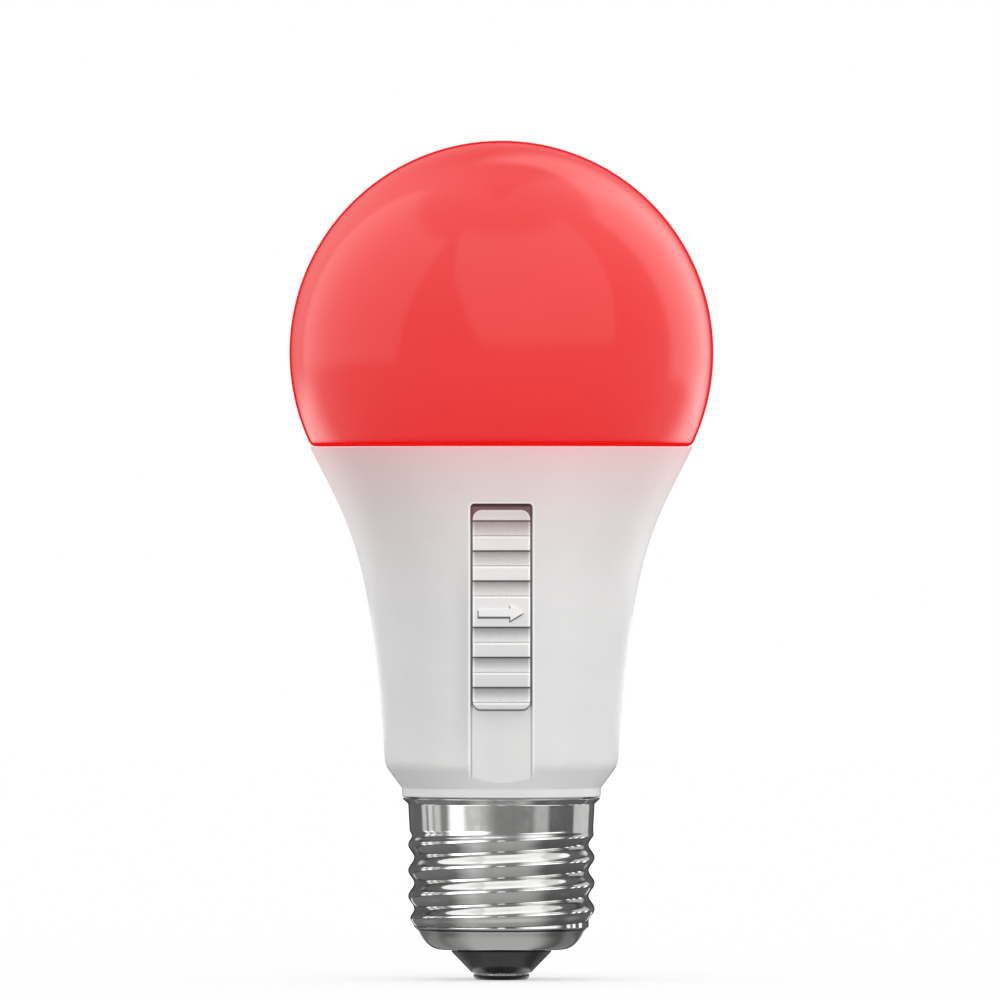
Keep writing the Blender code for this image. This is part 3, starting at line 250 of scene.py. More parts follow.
ARROW_HEAD_WIDTH = 0.0024
ARROW_HEIGHT = 0.0005
ARROW_EDGE = 0.0001
ARROW_DROP = 0.0003
ARROW_ROOT = 0.0006
SHADE_LINE_SHIFT = (-0.00016, -0.00026)
SHADE_LINE_DEPTH = 0.00040
JOIN_OVERLAP = 0.0004
STEM_WIDTH = 0.0044
STEM_LENGTH = 0.0080
SLOT_WIDTH = STEM_WIDTH + 2 * FIT_GAP
BARB_REACH = 0.0010
BARB_WIDTH = SLOT_WIDTH + 2 * BARB_REACH
BARB_FRONT = CHANNEL_BACK - FIT_GAP
POCKET_WALL = 0.0008
POCKET_FLOOR = SLIDER_BACK - POCKET_WALL
POCKET_REACH = 0.0015
LEVER_TO_TIP = 2.5

# Camera
VIEW_WIDTH = 0.14151
VIEW_DISTANCE = 2.5
VIEW_CENTRE = Vector((-0.0002, 0.0, 0.06785))
SENSOR_WIDTH = 36.0

# Colours. Pairs blend in clouds.
DOME_RED = ((0.27, 0.004, 0.005), (0.25, 0.003, 0.004))
DOME_GLOW = (0.95, 0.0240, 0.0255)
DOME_RIM_GLOW = (0.98, 0.008, 0.010)
DOME_GLOW_STRENGTH = 0.58
HOUSING_WHITE = ((0.75, 0.75, 0.745), (0.73, 0.73, 0.727))
# Painted highlight along the channel's lip
LIP_HIGHLIGHT = (0.97, 0.96, 0.955)
# Painted shade beside the channel, in its gap and corners, and reddish in its upper end under the roof
SIDE_SHADE = (0.10, 0.10, 0.10)
GAP_SHADE = (0.085, 0.085, 0.085)
ROOF_SHADE = (0.21, 0.085, 0.09)
UNDER_ROOF_SHADE = (0.03, 0.012, 0.013)
BUTTON_WHITE = ((0.80, 0.80, 0.795), (0.78, 0.78, 0.775))
BUTTON_LOWER_WHITE = (0.665, 0.665, 0.66)
GRAIN_WHITE = (0.78, 0.78, 0.775)
GRAIN_SPECK = (0.60, 0.60, 0.595)
# Painted shade in the grooves, deepest under each ridge
GROOVE_SHADE = (0.36, 0.355, 0.355)
ARROW_WHITE = (0.86, 0.86, 0.855)
# Painted highlight on the button's border and the tops of its ridges
HIGHLIGHT_WHITE = (0.97, 0.97, 0.965)
# Painted shade under down-facing faces, in the undercuts and in the cut line by the arrow
UNDERSIDE_SHADE = (0.11, 0.105, 0.105)
CUT_SHADE = (0.18, 0.175, 0.175)
NICKEL = ((0.68, 0.68, 0.67), (0.62, 0.62, 0.61))
NICKEL_ROOT = (0.50, 0.50, 0.49)
# Painted shade on the plate where it faces up, dimming its reflections from above
NICKEL_UPWARD_SHADE = (0.34, 0.34, 0.335)
# Painted shade in the crease where the thread meets the bowl
SEAM_SHADE = (0.06, 0.06, 0.06)
INSULATOR_BLACK = ((0.010, 0.010, 0.011), (0.022, 0.022, 0.023))
CONTACT_DARK = ((0.016, 0.016, 0.017), (0.05, 0.05, 0.05))
# Painted highlight along the contact's upper edge
CONTACT_HIGHLIGHT = (0.62, 0.61, 0.59)
FLOOR_GREY = (0.49, 0.49, 0.49, 1.0)

# Red light from the dome, painted on the housing and the button below it
GLOW_COLOUR = (0.97, 0.47, 0.47)
GLOW_SHARE = 0.66
GLOW_REACH = 0.0060

# Ramps of the looks: the values where each starts and ends and, where given, its share at either end
NOISE_RANGE = (0.3, 0.7)
SPECK_RANGE = (0.50, 0.72)
GLOSS_RANGE = (0.80, 0.865, 0.5, 0.0)
RIM_GLOW_RANGE = (DOME_BOTTOM + 0.0007, DOME_BOTTOM + 0.0018)
RIM_GLOSS_RANGE = (DOME_BOTTOM + 0.0004, DOME_BOTTOM + 0.0010)
CHANNEL_DEPTHS = (CHANNEL_BACK, CHANNEL_BACK + CHANNEL_WALL / 2)
INSIDE_RANGE = (0.00005, -0.00005)
SIDE_LOW_RANGE = (CHANNEL_END, SLIDER_BOTTOM)
SIDE_HIGH_RANGE = (SLIDER_TOP - 0.004, SLIDER_CENTRE, 0.0, 0.14)
LIP_RANGE = (CHANNEL_END, CHANNEL_END + 0.0012, 0.0, 0.8)
LINE_RANGE = (CHANNEL_END, CHANNEL_END + 0.0010, 0.0, 0.45)
GAP_RANGE = (SLIDER_BOTTOM - 0.0004, SLIDER_BOTTOM + 0.0012, 0.0, 0.85)
ROOF_DEPTHS = (SLIDER_FRONT + 0.0042, SLIDER_FRONT + 0.0015)
ROOF_RANGE = (SLIDER_TOP - 0.0040, SLIDER_TOP + 0.0002, 0.0, 0.85)
UNDER_ROOF_RANGE = (CHANNEL_TOP - 0.0006, CHANNEL_TOP - 0.0002, 0.0, 0.8)
GROOVE_DEPTHS = (SCOOP_EDGE / 2 - SLIDER_FRONT, SCOOP_EDGE - SLIDER_FRONT)
HIDDEN_DEPTHS = (SCOOP_EDGE + SCOOP_DEPTH - SLIDER_FRONT, UNDERCUT_DEPTH - SLIDER_FRONT)
CUT_DEPTHS = (0.00015 - SLIDER_FRONT, 0.00035 - SLIDER_FRONT)
ARROW_DEPTHS = (-SLIDER_FRONT - 0.0001, -SLIDER_FRONT - 0.0003)
LOWER_RANGE = (SLIDER_CENTRE + 0.006, SLIDER_BOTTOM)
GROOVE_SHADE_RANGE = (0.12, 0.92)
HIGHLIGHT_BORDER_RANGE = (-0.00034, -0.00020)
HIGHLIGHT_GROOVE_RANGE = (0.0, 1.0, 0.8, 0.4)
CROWN_RANGE = ((GROOVE_PERIOD - 0.00035) / GROOVE_HEIGHT, (GROOVE_PERIOD - 0.00020) / GROOVE_HEIGHT)
CROWN_RIDGE_RANGE = (1.0, 1.05, 0.0, 0.7)
UNDERSIDE_RANGE = (-0.30, -0.90)
GRAIN_RANGE = (0.0, 1.0, 0.15, 1.0)
CREST_RANGE = (THREAD_ROOT - 0.0002, THREAD_RADIUS - 0.0001)
UPWARD_SHADE_RANGE = (0.20, 0.60, 0.0, 0.5)
CONTACT_HIGHLIGHT_RANGE = (CONTACT_THICKNESS - 0.00018, CONTACT_THICKNESS - 0.00008)

# Bands of the looks: the ramps of their two soft borders
SIDE_BAND = ((-0.0074, -0.0048), (-0.0040, -0.0046))
LIP_BAND = ((-0.00006, 0.00004), (0.00034, 0.00018))
LINE_BAND = ((-0.00034, -0.00022), (0.00002, -0.00008))
GAP_BAND = ((-0.00044, -0.00034), (0.00002, -0.00006))
SEAM_BAND = ((BOWL_TOP - 0.0001, BOWL_TOP), (BOWL_TOP + 0.0003, BOWL_TOP + 0.0002))

# Stretch of a noise along X, Y and Z
UPRIGHT_STREAKS = (1.0, 1.0, 0.35)
ROLLED_STREAKS = (0.06, 0.06, 1.0)

# Colour sockets of a Mix node
MIX_COLOURS = (6, 7)
MIX_RESULT = 2

# Studio
AMBIENT = 0.68
FLOOR_HALF = 2.0
SKY_RADIUS = 1.2
SKY_COLUMNS = 241
SKY_ROWS = 91
TENT_RADIUS = 0.045
TENT_INNER = 0.005
TENT_LIFT = 0.0003
TENT_LOW = 0.027
TENT_HIGH = 0.050
TENT_COLUMNS = 361
TENT_ROWS = 121
GROUND_ROWS = 41

# Soft lamps: direction from the lamp's middle, distance, size and level
SOFTBOXES = {
    "key": ((0.30, -0.90, 0.34), 0.4, 0.2, 0.37),
    "left_rim": ((-0.70, 0.39, 0.60), 1.0, 0.5, 0.62),
    "right_rim": ((0.70, 0.39, 0.60), 1.0, 0.5, 0.48),
}

# Cards round the screw base: level, first and last azimuth and width of the soft border, in degrees
GROUND_CARDS = ((0.07, -140, -50, 30), (0.36, -44, 46, 30))
STRIPS = (
    (0.13, -150, 150, 24),
    (0.62, -104, -95, 4),
    (0.80, -92, -84, 4),
    (0.62, -82, -72, 5),
    (0.14, -72, 53, 6),
    (1.30, -60, -42, 8),
    (0.50, -48, -16, 30),
    (0.30, 36, 53, 7),
)
THREAD_STRIPS = ((2.2, -64, -16, 14), (1.8, 22, 72, 18), (0.8, -104, -95, 4), (0.8, -92, -84, 4))
HIGH_STRIPS = ((0.62, 90, 126, 4),)
LOW_STRIPS = ((1.60, -4, 4, 2), (2.0, 86, 92, 2), (2.0, 97, 103, 2), (2.0, 112, 120, 2))
UPPER_CARDS = ((0.18, -140, 140, 34), (0.24, -58, 66, 34), (0.35, -46, -6, 30), (1.10, 26, 58, 24))


# Curves and meshes


def curve_points(start, handle_a, handle_b, end, steps):
    """Points on a cubic curve, both ends included."""
    corners = [np.array(point) for point in (start, handle_a, handle_b, end)]
    points = []
    for share in np.linspace(0.0, 1.0, steps + 1):
        rest = 1.0 - share
        weights = (rest**3, 3 * rest**2 * share, 3 * rest * share**2, share**3)
        points.append(tuple(float(v) for v in sum(w * p for w, p in zip(weights, corners))))
    return points


def corner_points(start, corner, end, steps):
    """Points on a curve that leaves start towards a corner and arrives at end from it."""
    start, corner, end = (np.array(point) for point in (start, corner, end))
    pull = 2.0 / 3.0
    return curve_points(start, start + pull * (corner - start), end + pull * (corner - end), end, steps)


def arc_points(centre, radius, first, last, steps):
    angles = np.linspace(first, last, steps + 1)
    return [(centre[0] + radius * math.cos(a), centre[1] + radius * math.sin(a)) for a in angles]


def eased(profile, edge):
    """An outline with each inner corner rounded by a small curve, over a third of either side at most."""
    points = [np.array(point) for point in profile]
    result = [profile[0]]
    for before, corner, after in zip(points, points[1:], points[2:]):
        back = before - corner
        ahead = after - corner
        reach_back = min(edge, np.linalg.norm(back) / 3) / np.linalg.norm(back)
        reach_ahead = min(edge, np.linalg.norm(ahead) / 3) / np.linalg.norm(ahead)
        result += corner_points(corner + reach_back * back, corner, corner + reach_ahead * ahead, EDGE_STEPS)
    return [*result, profile[-1]]


def ease(share):
    share = min(max(share, 0.0), 1.0)
    return share * share * (3.0 - 2.0 * share)


def skin(name, points, faces):
    """A closed mesh with doubled points merged, its faces pointing out, and smooth apart from sharp edges."""
    mesh = bpy.data.meshes.new(name)
    mesh.from_pydata(points, [], faces)
    shape = bmesh.new()
    shape.from_mesh(mesh)
    bmesh.ops.remove_doubles(shape, verts=shape.verts, dist=MERGE_DISTANCE)
    bmesh.ops.dissolve_degenerate(shape, edges=shape.edges, dist=MERGE_DISTANCE)
    bmesh.ops.recalc_face_normals(shape, faces=shape.faces)
    shape.to_mesh(mesh)
    shape.free()
    mesh.shade_smooth()
    mesh.set_sharp_from_angle(angle=SHARP_ANGLE)
    return mesh


def loft(name, rings, closed=False, capped=False):
    """Skin a list of rings. Each ring is closed on itself, and closed joins the last ring to the first."""
    count = len(rings[0])
    points = [tuple(point) for ring in rings for point in ring]
    faces = []
    for row in range(len(rings) if closed else len(rings) - 1):
        first = row * count
        second = (row + 1) % len(rings) * count
        for column in range(count):
            after = (column + 1) % count
            faces.append((first + column, first + after, second + after, second + column))
    if capped:
        faces.append(tuple(range(count)))
        faces.append(tuple(range(len(points) - count, len(points))))
    return skin(name, points, faces)


def circle(radius, height, count):
    angles = [2 * math.pi * index / count for index in range(count)]
    return [(radius * math.cos(a), radius * math.sin(a), height) for a in angles]


def turned(name, profile, count):
    """Spin (radius, height) points round the axis. An outline with its ends on the axis stays open."""
    rings = [circle(radius, height, count) for radius, height in profile]
    return loft(name, rings, closed=profile[0][0] > 0.0)


def block(name, half_width, back, front, bottom, top):
    """A box about x = 0, between two depths and two heights."""
    sides = (-half_width, half_width)
    points = [(x, -depth, z) for z in (bottom, top) for depth in (back, front) for x in sides]
    faces = [(0, 1, 3, 2), (4, 5, 7, 6), (0, 1, 5, 4), (2, 3, 7, 6), (0, 2, 6, 4), (1, 3, 7, 5)]
    return skin(name, points, faces)


def place(name, data, material=None):
    """Put a mesh, with its material, a camera or a lamp in the scene."""
    item = bpy.data.objects.new(name, data)
    bpy.context.scene.collection.objects.link(item)
    if material:
        data.materials.append(material)
    return item


def combine(piece, tool_mesh, operation):
    """Cut a mesh from a piece, or join it to the piece."""
    tool = place("tool", tool_mesh)
    modifier = piece.modifiers.new("tool", "BOOLEAN")
    modifier.operation = operation
    modifier.solver = "EXACT"
    modifier.object = tool
    settled = bpy.data.meshes.new_from_object(piece.evaluated_get(bpy.context.evaluated_depsgraph_get()))
    settled.set_sharp_from_angle(angle=SHARP_ANGLE)
    settled.name = piece.data.name
    piece.modifiers.clear()
    piece.data = settled
    bpy.data.objects.remove(tool, do_unlink=True)


# Procedural materials


class Surface:
    """A material on the Principled shader, textured in the piece's own coordinates."""

    def __init__(self, name, **fixed):
        self.material = bpy.data.materials.new(name)
        self.material.use_nodes = True
        self.nodes = self.material.node_tree.nodes
        self.shader = self.nodes["Principled BSDF"]
        self.place = self.nodes.new("ShaderNodeTexCoord").outputs["Object"]
        for socket, value in fixed.items():
            self.shader.inputs[socket.replace("_", " ").title().replace("Ior", "IOR")].default_value = value

    def link(self, source, target):
        self.material.node_tree.links.new(source, target)

    def node(self, kind, inputs, **settings):
        node = self.nodes.new(kind)
        for setting, value in settings.items():
            setattr(node, setting, value)
        for socket, value in inputs.items():
            if isinstance(value, bpy.types.NodeSocket):
                self.link(value, node.inputs[socket])
            else:
                node.inputs[socket].default_value = value
        return node

    def noise(self, scale, detail=2.0, stretch=(1.0, 1.0, 1.0)):
        """Cloudy noise from 0 to 1, at a number of features per metre."""
        mapped = self.node("ShaderNodeMapping", {"Vector": self.place, "Scale": stretch}).outputs["Vector"]
        inputs = {"Vector": mapped, "Scale": scale, "Detail": detail}
        return self.node("ShaderNodeTexNoise", inputs).outputs["Fac"]

    def axis(self, letter):
        """A coordinate along X, Y or Z, in metres."""
        return self.node("ShaderNodeSeparateXYZ", {"Vector": self.place}).outputs[letter]

    def upward(self):
        """How far the surface faces up: 1 on top, 0 on an upright side and -1 underneath."""
        normal = self.node("ShaderNodeNewGeometry", {}).outputs["Normal"]
        return self.node("ShaderNodeSeparateXYZ", {"Vector": normal}).outputs["Z"]

    def grazing(self):
        """How much the surface turns away from the eye: 0 facing it and 1 at its outline."""
        return self.node("ShaderNodeLayerWeight", {"Blend": 0.5}).outputs["Facing"]

    def math(self, operation, a, b=0.0):
        return self.node("ShaderNodeMath", {0: a, 1: b}, operation=operation).outputs[0]

    def times(self, first, *others):
        """The product of all the values."""
        for other in others:
            first = self.math("MULTIPLY", first, other)
        return first

    def away(self, letter, middle):
        """Distance to either side of a middle, along X, Y or Z."""
        return self.math("ABSOLUTE", self.math("SUBTRACT", self.axis(letter), middle))

    def span(self, a, b):
        """Length of the straight line that goes a along one axis and b along another."""
        return self.math("SQRT", self.math("ADD", self.times(a, a), self.times(b, b)))

    def ramp(self, value, start, end, low_value=0.0, high_value=1.0, smooth=True):
        """Map a value from one range to another, clamped at both ends."""
        sockets = ("Value", "From Min", "From Max", "To Min", "To Max")
        inputs = dict(zip(sockets, (value, start, end, low_value, high_value)))
        kind = "SMOOTHSTEP" if smooth else "LINEAR"
        return self.node("ShaderNodeMapRange", inputs, interpolation_type=kind).outputs["Result"]

    def band(self, value, rise, fall):
        """1 between two soft borders. Each border is given as the value where it is 0 and where it is 1."""
        return self.times(self.ramp(value, *rise), self.ramp(value, *fall))

    def mix(self, share, *colours):
        """Blend two colours, each given as three numbers or as a socket."""
        inputs = {"Factor": share}
        for index, colour in zip(MIX_COLOURS, colours):
            inputs[index] = colour if isinstance(colour, bpy.types.NodeSocket) else (*colour, 1.0)
        return self.node("ShaderNodeMix", inputs, data_type="RGBA").outputs[MIX_RESULT]

    def cloudy(self, colours, scale, detail):
        """Two colours blended in clouds."""
        return self.mix(self.ramp(self.noise(scale, detail), *NOISE_RANGE), *colours)

    def feed(self, name, socket):
        """Link a value to one of the shader's sockets."""
        self.link(socket, self.shader.inputs[name])

    def roughness(self, value, middle, spread):
        """Roughness that wanders about a middle value."""
        self.feed("Roughness", self.ramp(value, *NOISE_RANGE, middle - spread, middle + spread))

    def bump(self, height, depth):
        """Raise the surface by up to a depth in metres."""
        inputs = {"Height": height, "Distance": depth, "Strength": 1.0}
        self.feed("Normal", self.node("ShaderNodeBump", inputs).outputs["Normal"])


def painted_dome_glow(look, colour):
    """Paint the red light of the lit dome on a colour, less and less with distance below the rim."""
    rise = look.math("DIVIDE", look.math("SUBTRACT", look.axis("Z"), HOUSING_TOP), GLOW_REACH)
    share = look.times(look.math("EXPONENT", rise), GLOW_SHARE)
    return look.mix(share, colour, GLOW_COLOUR)


def outline_offset(look, half_width, bottom, top, corner):
    """Distance outside an upright outline with round corners, negative inside it."""
    across = look.math("SUBTRACT", look.away("X", 0.0), half_width - corner)
    along = look.math("SUBTRACT", look.away("Z", (bottom + top) / 2), (top - bottom) / 2 - corner)
    reach = look.span(look.math("MAXIMUM", across, 0.0), look.math("MAXIMUM", along, 0.0))
    return look.math("SUBTRACT", reach, corner)


def channel_edges(look, colour, offset, height, front):
    """Paint faint shade on the side left of the channel, a highlight along the lip, and shade in the gap and
    the corners inside.
    """
    # Painted faint shade on the housing left of the channel
    side = look.times(look.band(look.axis("X"), *SIDE_BAND), look.ramp(height, *SIDE_LOW_RANGE))
    side = look.times(side, look.ramp(height, *SIDE_HIGH_RANGE))
    colour = look.mix(look.times(side, front), colour, SIDE_SHADE)
    # Painted highlight along the channel's lip
    lip = look.times(look.band(offset, *LIP_BAND), look.ramp(height, *LIP_RANGE))
    colour = look.mix(look.times(lip, front), colour, LIP_HIGHLIGHT)
    # Painted shade in the corners below the button and in the gap beside it
    line = look.times(look.band(offset, *LINE_BAND), look.ramp(height, *LINE_RANGE))
    gap = look.times(look.band(offset, *GAP_BAND), look.ramp(height, *GAP_RANGE))
    dark = look.times(look.math("MAXIMUM", line, gap), front)
    return look.mix(dark, colour, GAP_SHADE)


def channel_shade(look, colour):
    """Paint shade and a highlight along the channel's edges on the housing's front, and a reddish painted
    shade in its upper end under the roof.
    """
    offset = outline_offset(look, CHANNEL_HALF, 0.0, CHANNEL_TOP, CHANNEL_CORNER)
    depth = look.times(look.axis("Y"), -1.0)
    height = look.axis("Z")
    front = look.ramp(depth, *CHANNEL_DEPTHS)
    colour = channel_edges(look, colour, offset, height, front)
    # Painted shade, reddish from the dome, inside the channel's upper end, darkest under its roof
    inside = look.times(front, look.ramp(offset, *INSIDE_RANGE))
    deep = look.times(inside, look.ramp(depth, *ROOF_DEPTHS))
    colour = look.mix(look.times(deep, look.ramp(height, *ROOF_RANGE)), colour, ROOF_SHADE)
    return look.mix(look.times(deep, look.ramp(height, *UNDER_ROOF_RANGE)), colour, UNDER_ROOF_SHADE)


def dome_look():
    """Lit red plastic: a gloss that ends at the outline and the rim, over a glow that deepens at the rim."""
    look = Surface("red_diffuser", emission_strength=DOME_GLOW_STRENGTH)
    height = look.axis("Z")
    look.feed("Base Color", look.cloudy(DOME_RED, scale=60.0, detail=3.0))
    glow = look.mix(look.ramp(height, *RIM_GLOW_RANGE), DOME_RIM_GLOW, DOME_GLOW)
    look.feed("Emission Color", glow)
    gloss = look.times(look.ramp(look.grazing(), *GLOSS_RANGE), look.ramp(height, *RIM_GLOSS_RANGE))
    look.feed("Specular IOR Level", gloss)
    look.roughness(look.noise(900.0), middle=0.06, spread=0.012)
    look.bump(look.noise(2600.0), depth=0.000004)
    return look.material


def housing_look():
    """Satin white plastic, with the dome's red light painted on it near the rim, and painted shade and
    highlights round the channel.
    """
    look = Surface("white_plastic")
    white = look.cloudy(HOUSING_WHITE, scale=140.0, detail=3.0)
    # The dome's red light and the channel's shade and highlights are painted into the base colour
    look.feed("Base Color", channel_shade(look, painted_dome_glow(look, white)))
    look.roughness(look.noise(1800.0, 3.0), middle=0.40, spread=0.05)
    look.bump(look.noise(5200.0), depth=0.000006)
    return look.material


def groove_share(look):
    """How high a point lies in the button's pattern: 0 at a groove's foot, 1 at its top, more on a ridge."""
    height = look.axis("Z")
    upper = look.math("GREATER_THAN", height, SLIDER_CENTRE)
    start = look.math("ADD", LOWER_GROOVES, look.times(upper, UPPER_GROOVES - LOWER_GROOVES))
    rise = look.math("FLOORED_MODULO", look.math("SUBTRACT", height, start), GROOVE_PERIOD)
    return look.math("DIVIDE", rise, GROOVE_HEIGHT)


def button_plastic(look, groove, share, middle):
    """Smooth ridges, a little darker lower down, and grained grooves with painted shade that deepens towards
    their tops.
    """
    lower = look.ramp(look.axis("Z"), *LOWER_RANGE, smooth=False)
    white = look.cloudy(BUTTON_WHITE, scale=160.0, detail=2.0)
    smooth_face = look.mix(lower, white, BUTTON_LOWER_WHITE)
    grained = look.mix(look.ramp(look.noise(5200.0, 4.0), *SPECK_RANGE), GRAIN_WHITE, GRAIN_SPECK)
    # Painted shade in each groove, deepening towards the ridge above
    off_centre = look.math("GREATER_THAN", middle, SLIDER_CENTRE_BAND / 2 - RIDGE_EDGE)
    dark = look.times(look.ramp(share, *GROOVE_SHADE_RANGE, smooth=False), off_centre)
    return look.mix(groove, smooth_face, look.mix(dark, grained, GROOVE_SHADE))


def button_highlights(look, face, groove, share, middle):
    """Paint highlights on the button's border and along the tops of its ridges."""
    border = outline_offset(look, SLIDER_HALF, SLIDER_BOTTOM, SLIDER_TOP, SLIDER_CORNER)
    # Painted highlights on the button's border and the tops of its ridges
    border_highlight = look.times(look.ramp(border, *HIGHLIGHT_BORDER_RANGE), look.ramp(groove, *HIGHLIGHT_GROOVE_RANGE))
    face = look.mix(border_highlight, face, HIGHLIGHT_WHITE)
    crown = look.times(look.ramp(share, *CROWN_RANGE), look.ramp(share, *CROWN_RIDGE_RANGE))
    crown = look.times(crown, look.math("GREATER_THAN", middle, SLIDER_CENTRE_BAND / 4))
    return look.mix(crown, face, HIGHLIGHT_WHITE)


def button_shade(look, face, depth, middle):
    """Paint shade on what faces down, in the undercuts, and in the fine line below and behind the arrow."""
    # Painted shade on what faces down, in the undercuts and in the cut line by the arrow
    face = look.mix(look.ramp(look.upward(), *UNDERSIDE_RANGE), face, UNDERSIDE_SHADE)
    in_band = look.math("LESS_THAN", middle, SLIDER_CENTRE_BAND / 2 - 3 * RIDGE_EDGE)
    near_arrow = look.math("LESS_THAN", look.away("X", 0.0), ARROW_LENGTH / 2 + SHADE_LINE_DEPTH)
    cut = look.times(in_band, look.ramp(depth, *CUT_DEPTHS), near_arrow)
    dark = look.math("MAXIMUM", look.ramp(depth, *HIDDEN_DEPTHS), cut)
    return look.mix(dark, face, CUT_SHADE)


def slider_look():
    """Moulded plastic: smooth ridges and an arrow with a lighter raised face, and grooves grained for grip,
    with painted shade, painted highlights and the dome's painted red light.
    """
    look = Surface("slider_plastic")
    depth = look.axis("Y")
    middle = look.away("Z", SLIDER_CENTRE)
    share = groove_share(look)
    groove = look.ramp(depth, *GROOVE_DEPTHS)
    face = button_plastic(look, groove, share, middle)
    face = look.mix(look.ramp(depth, *ARROW_DEPTHS), face, ARROW_WHITE)
    face = button_highlights(look, face, groove, share, middle)
    # The dome's red light is painted on the button too
    look.feed("Base Color", painted_dome_glow(look, button_shade(look, face, depth, middle)))
    grain = look.noise(7500.0, 3.0)
    look.roughness(grain, middle=0.46, spread=0.06)
    look.bump(look.times(grain, look.ramp(groove, *GRAIN_RANGE)), depth=0.00006)
    return look.material


def nickel_look():
    """Bright nickel plate, duller in the thread's roots, with painted shade where it faces up and in the
    crease above the bowl, and the faint ripple of rolled sheet.
    """
    look = Surface("nickel_plate", metallic=1.0)
    crest = look.ramp(look.span(look.axis("X"), look.axis("Y")), *CREST_RANGE)
    plate = look.mix(crest, NICKEL_ROOT, look.cloudy(NICKEL, scale=420.0, detail=3.0))
    # Painted shade where the plate faces up, dimming its reflections from above
    plate = look.mix(look.ramp(look.upward(), *UPWARD_SHADE_RANGE), plate, NICKEL_UPWARD_SHADE)
    # Painted shade along the crease where the thread meets the bowl
    look.feed("Base Color", look.mix(look.band(look.axis("Z"), *SEAM_BAND), plate, SEAM_SHADE))
    look.roughness(look.noise(1500.0, 3.0, UPRIGHT_STREAKS), middle=0.09, spread=0.03)
    look.bump(look.noise(2400.0, 3.0, ROLLED_STREAKS), depth=0.000004)
    return look.material


def insulator_look():
    """Glossy black moulding."""
    look = Surface("black_insulator")
    look.feed("Base Color", look.mix(look.noise(500.0, 3.0), *INSULATOR_BLACK))
    look.roughness(look.noise(1600.0), middle=0.20, spread=0.05)
    look.bump(look.noise(900.0), depth=0.00001)
    return look.material


def contact_look():
    """Dark plating, with a painted highlight along its upper edge."""
    look = Surface("contact_plating", metallic=1.0)
    plate = look.mix(look.noise(900.0, 4.0), *CONTACT_DARK)
    # Painted highlight along the contact's upper edge
    look.feed("Base Color", look.mix(look.ramp(look.axis("Z"), *CONTACT_HIGHLIGHT_RANGE), plate, CONTACT_HIGHLIGHT))
    look.roughness(look.noise(1500.0, 3.0), middle=0.28, spread=0.08)
    look.bump(look.noise(1100.0, 3.0), depth=0.00002)
    return look.material


# Inner pieces: how their clouds vary the colour, and how many grains a cloud has
CLOUD_FACTORS = (1.08, 0.86)
GRAINS_PER_CLOUD = 6

# Finish of each class of material: roughness, metallic value and size of its grain per metre
CLASS_FINISH = {
    "painted_metal": (0.40, 0.0, 900.0),
    "brushed_steel": (0.32, 1.0, 1600.0),
    "aluminium": (0.38, 1.0, 1200.0),
    "brass": (0.30, 1.0, 1400.0),
    "rubber": (0.55, 0.0, 1500.0),
    "matte_plastic": (0.50, 0.0, 1800.0),
    "gloss_plastic": (0.25, 0.0, 700.0),
    "ceramic": (0.60, 0.0, 2400.0),
}


def inner_look(entry):
    """The finish of an inner piece, from its entry in the record."""
    rough, metallic, grain_scale = CLASS_FINISH[entry["class"]]
    look = Surface(entry["slot"], metallic=metallic)
    colours = [[min(channel * factor, 1.0) for channel in entry["base_color"]] for factor in CLOUD_FACTORS]
    look.feed("Base Color", look.cloudy(colours, grain_scale / GRAINS_PER_CLOUD, detail=3.0))
    grain = look.noise(grain_scale, 3.0)
    look.roughness(grain, rough, spread=0.07)
    look.bump(grain, depth=0.00001)
    if "emissive" in entry:
        look.shader.inputs["Emission Color"].default_value = (*entry["emissive"], 1.0)
        look.shader.inputs["Emission Strength"].default_value = 1.0
    return look.material


# Globe


def dome_profile():
    """The globe: outside with a rounded rim, inside, a flange, and a skirt that drops into the housing."""
    drop = DOME_CENTRE - DOME_BOTTOM
    rounding = DOME_RIM_ROUND
    round_radius = math.sqrt((DOME_RADIUS - rounding) ** 2 - (drop - rounding) ** 2)
    round_end = math.atan2(rounding - drop, round_radius)
    flange_top = DOME_BOTTOM + DOME_RIM_THICKNESS
    inside = DOME_RADIUS - DOME_WALL
    inside_start = math.asin((flange_top - DOME_CENTRE) / inside)
    skirt_inside = SKIRT_RADIUS - SKIRT_WALL
    profile = arc_points((0.0, DOME_CENTRE), inside, math.pi / 2, inside_start, DOME_ROWS // 2)
    profile[0] = (0.0, DOME_CENTRE + inside)
    profile += [(skirt_inside, flange_top), (skirt_inside, SKIRT_BOTTOM)]
    profile += [(SKIRT_RADIUS, SKIRT_BOTTOM), (SKIRT_RADIUS, DOME_BOTTOM)]
    rim = (round_radius, DOME_BOTTOM + rounding)
    profile += arc_points(rim, rounding, -math.pi / 2, round_end, 2 * EDGE_STEPS)
    profile += arc_points((0.0, DOME_CENTRE), DOME_RADIUS, round_end, math.pi / 2, DOME_ROWS)[1:]
    profile[-1] = (0.0, DOME_TOP)
    return profile


def build_globe():
    globe = place("globe", turned("globe", dome_profile(), AROUND), dome_look())
    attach(globe, "lamp")
    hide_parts("diffuser_dome")


# Housing with its switch channel


